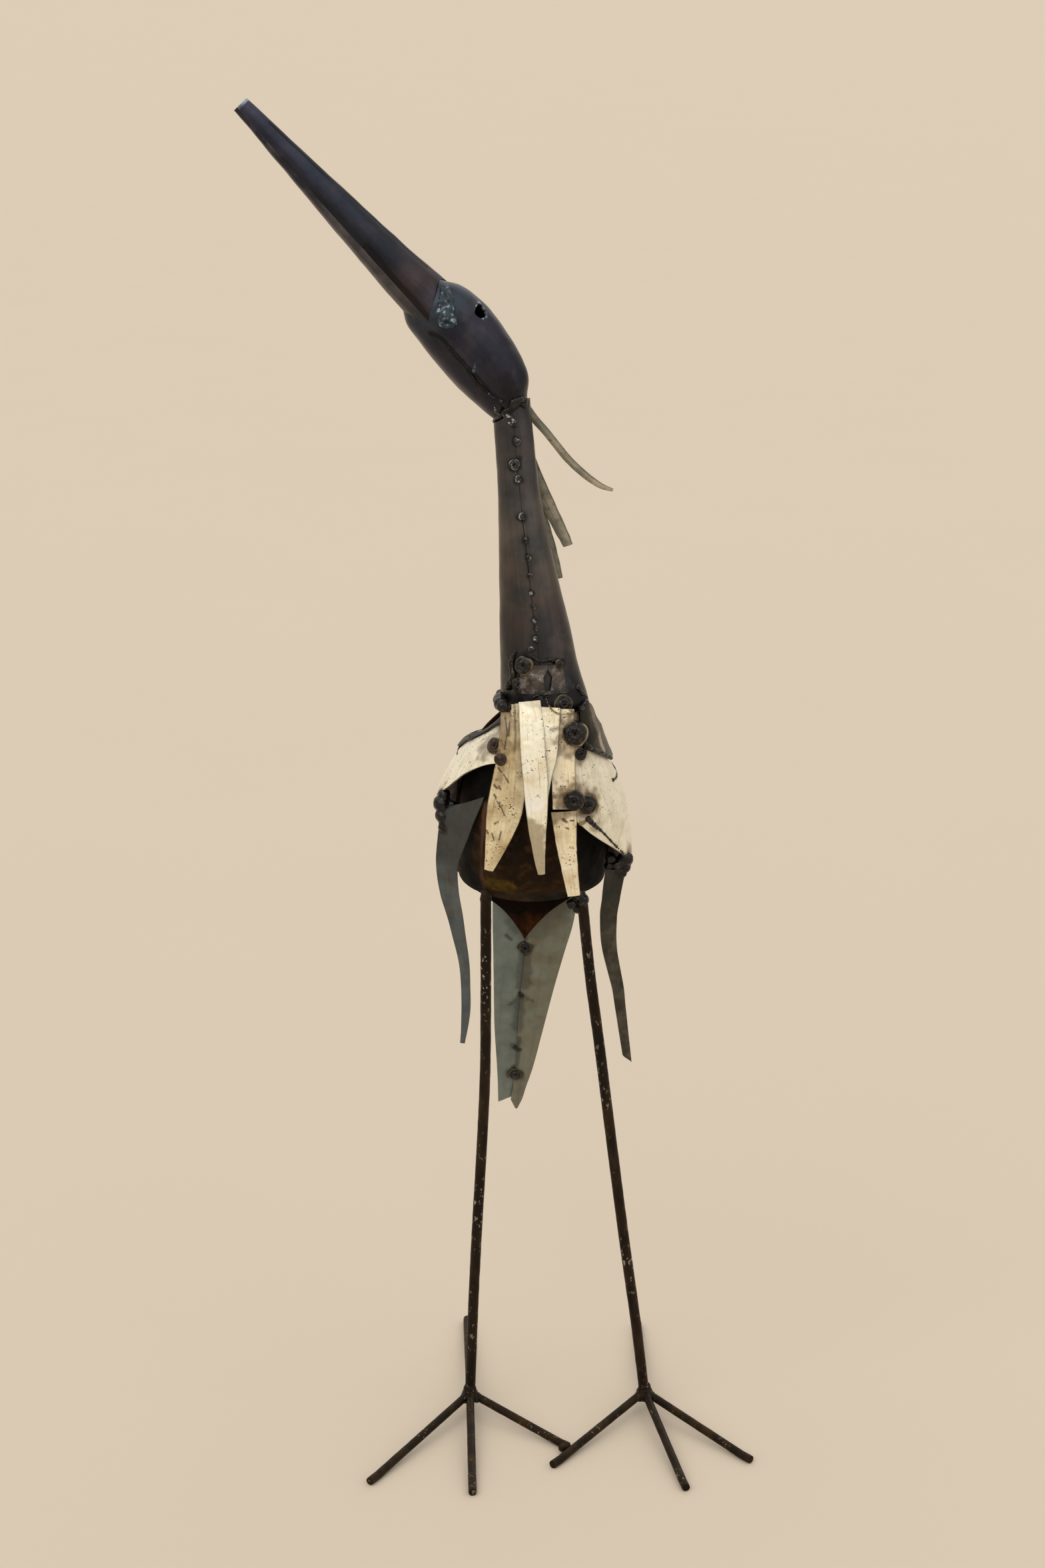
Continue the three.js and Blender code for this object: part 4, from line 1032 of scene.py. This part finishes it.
leg_steel = scaled_rod("round bar, dark mill scale", "#1b1209", "#352516", 0.1)
toe_steel = scaled_rod("round bar, worn olive brown", "#1b1003", "#33230c", 0.06)
LEGS = {
    "left": [[-33.5, -38, 549], [-34, -32, 452], [-35, -22, 370], [-38.4, -14, 292], [-44, -7, 193],
             [-48, -2, 110], [-51.6, 0, 14]],
    "right": [[54.5, -34, 545], [62, -29, 471], [72, -21, 393], [84.5, -14, 292], [97, -7, 193],
              [110.6, -2, 93], [120, 3, 14]],
}
legs = {side_name: rod_piece(f"leg_{side_name}", path, LEG_ROD / 2, leg_steel, "legs")
        for side_name, path in LEGS.items()}

# %% The toes slope down from the ankle and lie flat at their very end
ANKLES = {"left": (-51.6, -1), "right": (120, 2)}
ANKLE_HEIGHT, FLAT_FROM = 17.5, 0.92
TOE_TIPS = {
    "left": {"outer": (-143.4, -143), "middle": (-46.4, -162), "inner": (44, -79), "back": (-58, 178)},
    "right": {"outer": (217, -104), "middle": (152.5, -154), "inner": (28, -113), "back": (120, 170)},
}
for side_name, tips in TOE_TIPS.items():
    for toe_name, tip in tips.items():
        root = ANKLES[side_name]
        path = [[lerp(root[0], tip[0], t), lerp(root[1], tip[1], t),
                 lerp(ANKLE_HEIGHT, TOE_ROD / 2, min(t / FLAT_FROM, 1))] for t in np.linspace(0, 0.998, 25)]
        rod_piece(f"toe_{side_name}_{toe_name}", path, TOE_ROD / 2 - 0.1, toe_steel, "toes")

# %% [markdown]
# ## Welds
# A weld is metal that ran and froze. Each place is found by a point in the photograph: a ray from the camera
# through that pixel ends on the first sheet that it meets, so the weld sits on that sheet from every side.

# %% Find a place on the bird by its pixel
search = {}


def seen_at(pixel, *pieces):
    x, y = pixel
    ray = Vector(((x - PHOTO_WIDTH / 2) / FOCAL_PIXELS, -(y - PHOTO_HEIGHT / 2) / FOCAL_PIXELS, -1))
    ray = (camera.matrix_world.to_3x3() @ ray).normalized()
    hits = []
    for piece in pieces:
        if piece.name not in search:
            corners = [v.co for v in piece.data.vertices]
            search[piece.name] = BVHTree.FromPolygons(corners, [p.vertices for p in piece.data.polygons])
        place, normal, _, distance = search[piece.name].ray_cast(camera.location, ray)
        if place is not None:
            hits.append((distance, place, normal if normal.dot(ray) < 0 else -normal))
    if not hits:
        for piece in pieces:
            for reach in np.arange(2.2, 2.8, 0.01):
                place, _, _, distance = search[piece.name].find_nearest(camera.location + ray * reach)
                hits.append((distance, place, -ray))
    return min(hits, key=lambda hit: hit[0])[1:]


SHEETS = [neck, throat_patch, crown, jaw, beak_upper, beak_lower, belly, wing_left, wing_right, shoulder_left,
          shoulder_right, plume_left, plume_right, tail_left, tail_right, *feathers.values()]
print("the neck's seam is seen at", [round(v, 3) for v in seen_at((783, 775), neck)[0]])

# %% [markdown]
# Weld metal is nearly black with oxide. It is smooth, since it froze from a liquid, so it shines. A thin
# golden rim of slag remains where a drop met the cooler sheet. Small patches of a lighter glint colour
# are painted glints, and on the seam's bright drops the rim is pale grey and is a painted glint too.

# %% Weld metal
def frozen_metal(name, dark, light, glint, slag, rough):
    material, tree = new_finish(name)
    tone = layer(tree, dark, light, patches(tree, 8, 0.4, 0.15, seed=1.0))
    tone = layer(tree, tone, glint, patches(tree, 3, 0.12, 0.08, seed=5.0))
    tone = layer(tree, tone, slag, "slag", 0.75)
    skin = patches(tree, 4, 0.5, 0.3, seed=2.0)
    return surfaced(material, tone, 0.25, skin, (rough, rough + 0.2), specular=0.4)


weld_metal = frozen_metal("weld metal, frozen drops", "#0c0a0a", "#191413", "#453c34", "#94804f", 0.14)
brown_weld = frozen_metal("weld metal, rusted", "#271a13", "#3d2a20", "#64503f", "#7d6245", 0.2)
# painted glints: silver patches, and a pale grey rim on each seam drop
bright_weld = frozen_metal("weld metal, bright along the seam", "#171516", "#343230", "#c4c9cc", "#b1b0ab",
                           0.12)
blued_weld = frozen_metal("weld metal, blued", "#18252f", "#2d3e48", "#83919a", "#94804f", 0.3)
gold_slag = frozen_metal("slag, pale gold", "#6d5c3a", "#93834f", "#cdbd93", "#94804f", 0.3)

# %% A ringed drop: it froze from its rim inwards, in steps
TO_CAMERA_LEAN = 0.6


def ringed_drops(name, spots, slot_name, metal, rings=22, spokes=44):
    vertices, faces, slag = [], [], []
    for number, (pixel, radius, *carrier) in enumerate(spots):
        place, out = seen_at(pixel, *(carrier or SHEETS))
        out = (out + (camera.location - place).normalized() * TO_CAMERA_LEAN).normalized()
        side = out.orthogonal().normalized()
        up = out.cross(side)
        start = len(vertices)
        for j in range(rings + 1):
            share = j / rings
            for i in range(spokes):
                turn = 2 * math.pi * i / spokes
                swell = noise.noise(Vector((math.cos(turn), math.sin(turn), number * 3.3)))
                reach = radius * share * (1 + 0.16 * swell)
                step = 0.09 * math.cos(2 * math.pi * (2.6 * share + 0.12 * swell)) * (1 - share)
                ring = 0.1 * math.exp(-((share - 0.9) / 0.05) ** 2)
                crest = 0.55 * math.sqrt(max(0, 1 - share ** 2.6)) + step + ring - 0.14
                sway = noise.noise(Vector((share * 3, turn * 2, number * 5.1))) * 0.07
                spoke = side * math.cos(turn) * reach + up * math.sin(turn) * reach
                vertices.append(place + (spoke + out * radius * (crest + sway)) / 1000)
                slag.append(math.exp(-((share - 0.93) / 0.06) ** 2) * smoothstep(swell, -0.25, 0.15))
        for j in range(rings):
            for i in range(spokes):
                a, b = start + j * spokes + i, start + j * spokes + (i + 1) % spokes
                faces.append((a, a + spokes, b + spokes, b))
        faces.append(tuple(start + i for i in range(spokes)))
        rim = start + rings * spokes
        vertices.append(place - out * radius * 0.3 / 1000)
        slag.append(0.0)
        faces += [(rim + (i + 1) % spokes, rim + i, len(vertices) - 1) for i in range(spokes)]
    piece = as_object(name, vertices, faces)
    attribute = piece.data.attributes.new("slag", "FLOAT", "POINT")
    attribute.data.foreach_set("value", slag)
    return finished(piece, metal, slot_name)


BROWN_DROPS = [((743, 1119), 8), ((751, 1139), 6)]
CHEST_DROPS = [((864, 1100), 11.8, feathers["chest_feather_right_upper"]), ((871, 1130), 6.6),
               ((861, 1200), 10), ((881, 1207), 9.4)]
LEG_DROPS = [((857, 1361), 6.2, legs["right"])]
NECK_DROPS = [((786, 998), 8.6), ((779, 1027), 7), ((840, 997), 4.6), ((845, 1056), 8.6), ((750, 1050), 7),
              ((876, 1047), 4.6)]
SEAM_DROPS_SEEN = [((775, 662), 3.4), ((772, 697), 5), ((778, 719), 3.6), ((783.5, 775), 3.6),
                   ((788, 810), 2.7), ((792.5, 837), 2.8), ((795, 864), 2.3), ((797, 890), 2.2),
                   ((800, 911), 2.2), ((802, 931), 2.4), ((804, 943), 2), ((804, 959), 2.6),
                   ((797, 974), 2.4)]
TAIL_DROPS = [((788, 1422), 6.4), ((781, 1493), 2.6), ((775, 1571), 3.4), ((773, 1611), 6.8)]
ringed_drops("chest_weld_drops", CHEST_DROPS, "chest_feathers", weld_metal)
ringed_drops("chest_brown_drops", BROWN_DROPS, "chest_feathers", brown_weld)
ringed_drops("leg_top_drop", LEG_DROPS, "legs", weld_metal)
ringed_drops("neck_weld_drops", NECK_DROPS, "neck", weld_metal)
ringed_drops("neck_seam_drops", SEAM_DROPS_SEEN, "neck", bright_weld)
ringed_drops("tail_weld_drops", TAIL_DROPS, "tail", weld_metal)

# %% [markdown]
# Elsewhere the metal ran together in lumps and in lines. A lump is a handful of balls, fused into one skin by
# a voxel remesh, smoothed and roughened. A line is the same with many small balls in a row.

# %% Fuse balls into one run of weld metal
def fused(name, balls, material, slot_name, voxel, rough=0.3):
    bm = bmesh.new()
    for place, radius in balls:
        made = bmesh.ops.create_icosphere(bm, subdivisions=3, radius=radius / 1000)
        bmesh.ops.translate(bm, verts=made["verts"], vec=place)
    mesh = bpy.data.meshes.new(name)
    bm.to_mesh(mesh)
    bm.free()
    piece = bpy.data.objects.new(name, mesh)
    bpy.context.scene.collection.objects.link(piece)
    remesh = piece.modifiers.new("fuse", "REMESH")
    remesh.mode = "VOXEL"
    remesh.voxel_size = voxel / 1000
    smooth = piece.modifiers.new("smooth", "SMOOTH")
    smooth.iterations = 6
    applied(piece)
    for vertex in piece.data.vertices:
        at = vertex.co * 1000
        vertex.co += vertex.normal * (noise.noise(at / 4.1) + 0.4 * noise.noise(at / 1.7)) * rough / 1000
    return finished(piece, material, slot_name)


def beads(pixels, radii, spacing=1.1):
    places = [seen_at(pixel, *SHEETS)[0] for pixel in pixels]
    steps = max(2, round(sum((b - a).length for a, b in zip(places, places[1:])) * 1000 / spacing))
    line = [np.array(place) for place in places]
    balls = []
    for i in range(steps + 1):
        t = i / steps
        pulse = 1 + 0.22 * math.sin(2.3 * i) + 0.15 * math.sin(0.7 * i)
        balls.append((Vector(through(line, t)), through(radii, t) * pulse))
    return balls


def drawn_ball(x, y, z, radius):
    return Vector(placed([x, y, z])), radius


LEFT_TIP = [(-70.5, -43, 646, 5.6), (-72.5, -43, 637.5, 8.4), (-72, -44, 626, 7.2), (-71, -45, 616, 5.6),
            (-66, -46, 632, 5), (-67, -46, 621, 4), (-63, -46, 637, 4)]
RIGHT_TIP = [(94, -30, 580, 7.6), (86.5, -32, 576, 5.6), (90.5, -30, 567, 5.4), (86, -31, 569, 4.2),
             (95, -31, 572, 4.4), (79, -31, 574, 4.6), (80.5, -31, 582, 5)]
LUMPS = {
    "wing_left_tip_weld": ("wings", weld_metal, 0.8, 0.6, LEFT_TIP),
    "wing_right_tip_weld": ("wings", weld_metal, 0.8, 0.6, RIGHT_TIP),
    "leg_left_top_weld": ("legs", leg_steel, 0.7, 0.3, [(-32.5, -38, 551, 5.9), (-33.6, -38, 544, 5.6)]),
    "leg_right_top_weld": ("legs", weld_metal, 0.7, 0.3, [
        (50.5, -33, 548, 7.4), (55, -34, 542, 6.2), (44.5, -38, 539, 5)]),
    "toes_touching_weld": ("toes", toe_steel, 0.7, 0.3, [(42, -81, 5.6, 4.4), (38, -84, 5.2, 4)]),
}
for lump_name, (slot_name, metal, voxel, rough, balls) in LUMPS.items():
    fused(lump_name, [drawn_ball(*ball) for ball in balls], metal, slot_name, voxel, rough)
for side_name, (x, y) in ANKLES.items():
    balls = [drawn_ball(x, y - 0.5, 15.5, 8.6), drawn_ball(x, y, 22, 6.4)]
    for tip in TOE_TIPS[side_name].values():
        way = np.array([tip[0] - x, tip[1] - y])
        way = way / np.linalg.norm(way) * 8.5
        balls.append(drawn_ball(x + way[0], y + way[1], 15.4, 5.4))
    fused(f"ankle_{side_name}_weld", balls, toe_steel, "toes", 0.8)

# %% Lines of weld, along the joints that the photograph shows
WELD_LINES = {
    "beak_joint_weld": ("head", blued_weld, [
        ([(669, 431), (673, 446), (676, 462), (680, 484)], [2.2, 3.4, 3, 3.4]),
        ([(664, 434), (663, 452), (658, 474)], [1.8, 2.6, 2.6]),
        ([(669, 450), (668, 476)], [2.8, 4.4]),
        ([(659, 482), (668, 489), (679, 488)], [2.2, 2.8, 2.2])]),
    "jaw_seam_weld": ("head", weld_metal, [
        ([(652, 503), (680, 528), (700, 550), (718, 576), (739, 592), (752, 602)],
         [0.5, 0.6, 0.6, 0.9, 0.8, 1.4])]),
    "jaw_spatter": ("head", blued_weld, [
        ([(713, 545), (711, 557)], [0.9, 1.6]),
        ([(733, 590), (741, 596)], [0.9, 1.3])]),
    "neck_top_weld": ("neck", weld_metal, [
        ([(741, 630), (752, 622), (766, 612), (786, 600)], [1.6, 2.4, 2, 2.4]),
        ([(767, 607), (772, 601), (785, 600), (786, 608)], [2.2, 2.6, 3, 2.6])]),
    "neck_top_glints": ("neck", bright_weld, [
        ([(757, 618), (765, 628), (771, 637)], [2.4, 3.4, 2.6]),
        ([(743, 611), (746, 619), (755, 621)], [1.1, 1.5, 1.7]),
        ([(770, 606), (782, 602)], [1, 1.2])]),
    "patch_weld": ("neck", weld_metal, [
        ([(800, 986), (812, 992), (826, 990), (838, 996)], [1.8, 1.4, 2, 1.6]),
        ([(774, 976), (768, 994), (770, 1012), (764, 1030)], [1.2, 2.6, 2.8, 3.4]),
        ([(800, 1046), (812, 1042), (822, 1046)], [1.2, 1.4, 1.2])]),
    "neck_foot_weld": ("neck", weld_metal, [
        ([(745, 1040), (750, 1056), (762, 1062)], [3.4, 4.6, 3]),
        ([(866, 1030), (878, 1052), (872, 1064)], [2, 3, 2])]),
    "neck_foot_slag": ("neck", gold_slag, [
        ([(771, 978), (764, 992), (768, 1010), (775, 1026)], [0.4, 0.6, 0.6, 0.4]),
        ([(818, 1044), (826, 1062), (840, 1071), (860, 1069)], [0.5, 0.8, 0.9, 0.5])]),
    "shoulder_hem_weld": ("shoulders", weld_metal, [
        ([(872, 1107), (885, 1121), (905, 1130), (917, 1138)], [2, 1.8, 1.8, 1.6]),
        ([(920, 1142), (925, 1152), (925, 1164), (919, 1170)], [0.6, 0.9, 1.1, 1.6])]),
    "wing_hem_weld": ("wings", weld_metal, [
        ([(882, 1228), (892, 1238), (903, 1247), (922, 1267), (938, 1284)], [2.4, 1.8, 1.2, 1.2, 2.2])]),
    "wing_hem_slag": ("wings", gold_slag, [([(871, 1236), (877, 1233)], [1.6, 1.2])]),
    "drop_slag": ("chest_feathers", gold_slag, [
        ([(893, 1193), (897, 1210), (888, 1227)], [0.5, 0.9, 0.5]),
        ([(848, 1092), (849, 1112), (858, 1119)], [0.5, 0.8, 0.5]),
        ([(733, 1113), (740, 1107), (750, 1109), (755, 1120)], [0.4, 0.7, 0.7, 0.4])]),
    "left_contour_weld": ("shoulders", weld_metal, [
        ([(705, 1104), (694, 1116), (686, 1132)], [1, 2.2, 0.8])]),
}
for line_name, (slot_name, metal, lines) in WELD_LINES.items():
    balls = [ball for pixels, radii in lines for ball in beads(pixels, radii)]
    fused(line_name, balls, metal, slot_name, 0.5)

# %% [markdown]
# ## Soot, painted shade, scorch and scuffs
# Heat leaves a black ring round a weld and a brown scorch round that. The same strokes also lay painted
# shade: on the belly's sides, the back dish, the plumes under the wings, the beak and the head's seam. Every
# grid point of a sheet gets a painted value: how near the closest stroke is. Noise frays the edge. The
# finishes above read the values.

# %% Paint strokes on a sheet
def paint(piece, name, strokes, fray=5.0):
    points = np.empty(len(piece.data.vertices) * 3)
    piece.data.vertices.foreach_get("co", points)
    points = points.reshape(-1, 3) * 1000
    ragged = np.array([1 + 0.45 * noise.noise(Vector(p / fray)) for p in points])
    values = np.zeros(len(points))
    for pixels, reach, *strength in strokes:
        places = [np.array(p if isinstance(p, Vector) else seen_at(p, piece)[0]) * 1000 for p in pixels]
        for a, b in zip(places, places[1:] or places):
            way = b - a
            share = np.clip((points - a) @ way / max(way @ way, 1e-9), 0, 1)
            distance = np.linalg.norm(points - a - share[:, None] * way, axis=1) * ragged
            near = np.clip((reach - distance) / (0.5 * reach), 0, 1)
            values = np.maximum(values, near * near * (3 - 2 * near) * (strength or [1])[0])
    attribute = piece.data.attributes.get(name) or piece.data.attributes.new(name, "FLOAT", "POINT")
    attribute.data.foreach_set("value", values)


print("a stroke is a row of places, its reach in millimetres and, where it is faint, its strength")

# %% Soot and scorch round the welds of wings and chest
NECK_FOOT = [([50, -92, 748], 20), ([64, -70, 730], 20), ([-24, -90, 750], 14)]
NECK_SCORCH = [([(790, 1050), (820, 1052)], 7, 0.4)]
LEFT_SCORCH = [([(752, 1062), (754, 1090)], 14, 0.85), ([(731, 1120)], 17, 0.85),
               ([(752, 1150), (750, 1170)], 3.5, 0.5)]


def round_drops(drops, growth, *sheets):
    return [([seen_at(drop[0], *sheets)[0]], drop[1] * growth) for drop in drops]


weld_soot = round_drops(CHEST_DROPS, 1.25, *SHEETS)
browned = round_drops(BROWN_DROPS, 1.3, *SHEETS)
tip_soot = [([drawn_ball(*ball)[0]], 12) for ball in (LEFT_TIP[1], LEFT_TIP[3], RIGHT_TIP[0], RIGHT_TIP[2])]
foot_soot = [([Vector(placed(place))], reach) for place, reach in NECK_FOOT]
for piece in (wing_left, wing_right, *feathers.values()):
    is_middle = piece == feathers["chest_feather_middle"]
    sheltered = is_middle or piece == feathers["chest_feather_behind"]
    heat = [] if is_middle else weld_soot + tip_soot
    scorch = [(places, reach * 1.8) for places, reach in heat] + browned + NECK_SCORCH
    paint(piece, "soot_and_shade", heat + [(places, reach * (0.6 if sheltered else 1)) for places, reach in foot_soot])
    paint(piece, "scorch", scorch if sheltered else scorch + LEFT_SCORCH)

# %% Marks on single pieces
MARKS = [
    (shoulder_right, "rim", 3.0, [([(900, 1104), (906, 1124)], 5), ([(889, 1052), (898, 1095)], 6, 0.4)]),
    (feathers["chest_feather_left"], "scuffs", 2.0, [
        ([(748, 1152), (752, 1158)], 1.2), ([(756, 1162), (763, 1174)], 0.9),
        ([(742, 1178), (746, 1182)], 1.5), ([(749, 1180), (751, 1184)], 1.2),
        ([(746, 1202), (752, 1211), (757, 1223)], 0.9), ([(741, 1192), (744, 1196)], 1.2),
        ([(742, 1236), (747, 1233)], 1.2), ([(738, 1250), (741, 1260)], 0.9),
        ([(752, 1247), (749, 1260)], 0.9), ([(758, 1076), (761, 1098), (757, 1124)], 0.9),
        ([(765, 1082), (763, 1104)], 0.8), ([(730, 1245), (732, 1250)], 1.2)]),
    # greyer towards the middle feather's lower end
    (feathers["chest_feather_middle"], "greyer_patch", 5.0, [([(797, 1245), (802, 1300)], 15, 0.9)]),
    # painted highlight: a near-white patch across the middle feather
    (feathers["chest_feather_middle"], "painted_highlight", 5.0, [([(788, 1208), (806, 1208)], 7, 0.8)]),
    (feathers["chest_feather_right_lower"], "scuffs", 2.0, [
        ([(845, 1229), (850, 1233)], 1.8), ([(857, 1231), (860, 1231)], 1.5),
        ([(850, 1242), (853, 1243)], 1.3)]),
    # a greyer band along the right wing's hem
    (wing_right, "greyer_patch", 5.0, [([(890, 1242), (915, 1270), (930, 1288)], 5, 0.9)]),
    (belly, "old_paint", 3.0, [([(738, 1326), (762, 1331)], 11)]),
    (belly, "red_rust", 30.0, [([(734, 1180), (730, 1203), (725, 1240), (724, 1330)], 3.4, 0.85)]),
    # painted shade: the belly's two sides go near-black; the last stroke darkens a band along its lower rim
    (belly, "soot_and_shade", 14.0, [
        ([(712, 1150), (700, 1185), (690, 1260), (705, 1320)], 30), ([(735, 1150), (728, 1185)], 16),
        ([(905, 1240), (910, 1330)], 36), ([(872, 1230), (888, 1310)], 18),
        ([(800, 1345), (860, 1345)], 8, 0.6)]),
    # painted shade: the back dish's top darkens under the belly's rim; the two thin strokes darken its edges
    (back, "soot_and_shade", 5.0, [
        ([(745, 1352), (800, 1356), (850, 1352)], 17, 0.9), ([(750, 1358), (790, 1402)], 3, 0.8),
        ([(848, 1362), (794, 1404)], 3, 0.8)]),
    (crown, "rim", 30.0, [([place], 2.1) for place in eye_rims]),
    (shoulder_left, "soot_and_shade", 5.0, [([(742, 1082), (722, 1092), (690, 1120)], 4)]),
    # painted shade: each wing plume's top darkens under its wing, over soot round the wing tip welds
    (plume_left, "soot_and_shade", 30.0, tip_soot + [([(705, 1195), (690, 1215), (665, 1230)], 70, 0.6)]),
    (plume_right, "soot_and_shade", 30.0, tip_soot + [([(915, 1300), (912, 1335)], 40, 0.75)]),
]
# painted shadow: a dark line along the seam under the crown's overhanging edge; the second stroke is soot by
# the neck's top weld
HEAD_SEAM_SHADE_AND_SOOT = [([(645, 500), (662, 507), (680, 528), (700, 550), (718, 576), (739, 592), (754, 602)], 2.6, 0.9),
             ([(760, 572), (772, 600)], 9, 0.35)]
# painted shade on both beak blades: a dark valley along the mouth line and a dark facet along the upper edge
BEAK_SHADE = [([(425, 240), (470, 288), (550, 371)], 4, 0.4),
             ([(550, 371), (600, 430), (650, 487)], 5.5, 0.75),
             ([(404, 183), (490, 264), (575, 340), (640, 400)], 2.2, 0.9)]
BEAK_TIP = [([(351, 163), (358, 150), (371, 148)], 2.2)]
TAIL_SOOT = [([(788, 1424), (785, 1478)], 9, 0.45), ([(781, 1493), (777, 1545)], 7, 0.4),
             ([(781, 1493), (765, 1507)], 3, 0.5), ([(781, 1493), (800, 1502)], 3, 0.4),
             ([(800, 1385), (835, 1352)], 26, 0.35), ([(775, 1571), (774, 1600)], 4, 0.5),
             ([(760, 1403), (767, 1409)], 2.4, 0.6)]
seam_soot = [([pixel], radius * 1.7) for pixel, radius in NECK_DROPS + SEAM_DROPS_SEEN]
MARKS.append((neck, "soot_and_shade", 5.0, seam_soot + foot_soot))
MARKS += [(half, "soot_and_shade", 3.0, HEAD_SEAM_SHADE_AND_SOOT) for half in (crown, jaw)]
MARKS += [(blade, "soot_and_shade", 30.0, BEAK_SHADE) for blade in (beak_upper, beak_lower)]
MARKS += [(blade, "rim", 3.0, BEAK_TIP) for blade in (beak_upper, beak_lower)]
MARKS += [(leaf, "soot_and_shade", 8.0, round_drops(TAIL_DROPS, 1.75, tail_left, tail_right) + TAIL_SOOT)
          for leaf in (tail_left, tail_right)]
for piece, name, fray, strokes in MARKS:
    paint(piece, name, strokes, fray)
print(len(MARKS), "pieces marked one by one")

# %% [markdown]
# ## Floor and light
# A pale floor runs far out, so that it fills the view behind the bird. The light is a studio's, without hard
# shadows: a pale glow from all round, brighter from above, and three broad soft lamps. Suns stand in for the
# lamps, since they light the near and the far floor alike.

# %% Floor, glow and lamps
floor = as_object("floor", [(-90, -90, 0), (90, -90, 0), (90, 90, 0), (-90, 90, 0)], [(0, 1, 2, 3)])
material, tree = new_finish("studio paper, matt")
tone = layer(tree, "#c9bcab", "#cabdac", patches(tree, 400, 0.5, 0.3, seed=1.0))
shader = tree.nodes["Principled BSDF"]
tree.links.new(tone, shader.inputs["Base Color"])
shader.inputs["Roughness"].default_value = 0.95
floor.data.materials.append(material)


def soft_lamp(name, direction, spread, strength, tint):
    lamp = bpy.data.lights.new(name, "SUN")
    lamp.angle = math.radians(spread)
    lamp.energy = strength
    lamp.color = colour(tint)[:3]
    holder = bpy.data.objects.new(name, lamp)
    holder.rotation_euler = (-Vector(direction)).to_track_quat("-Z", "Y").to_euler()
    bpy.context.scene.collection.objects.link(holder)


soft_lamp("key", (-0.6, -1.0, 1.1), 50, 0.85, "#fffaf2")
soft_lamp("side", (1.2, -0.7, 0.5), 60, 0.35, "#f4f7ff")
soft_lamp("back", (0.4, 1.0, 0.8), 60, 0.3, "#fffaf0")
world = bpy.data.worlds.new("studio")
bpy.context.scene.world = world
world.use_nodes = True
glow = world.node_tree
sky = node(glow, "ShaderNodeTexCoord")
upward = node(glow, "ShaderNodeSeparateXYZ", {"Vector": sky.outputs["Generated"]})
height = node(glow, "ShaderNodeMapRange", {
    "Value": upward.outputs["Z"], "From Min": -0.1, "From Max": 0.9, "To Min": 0.35, "To Max": 1.15})
glow.links.new(height.outputs["Result"], glow.nodes["Background"].inputs["Strength"])
glow.nodes["Background"].inputs["Color"].default_value = colour("#fbf7ef")
bpy.context.scene.view_settings.view_transform = "Standard"
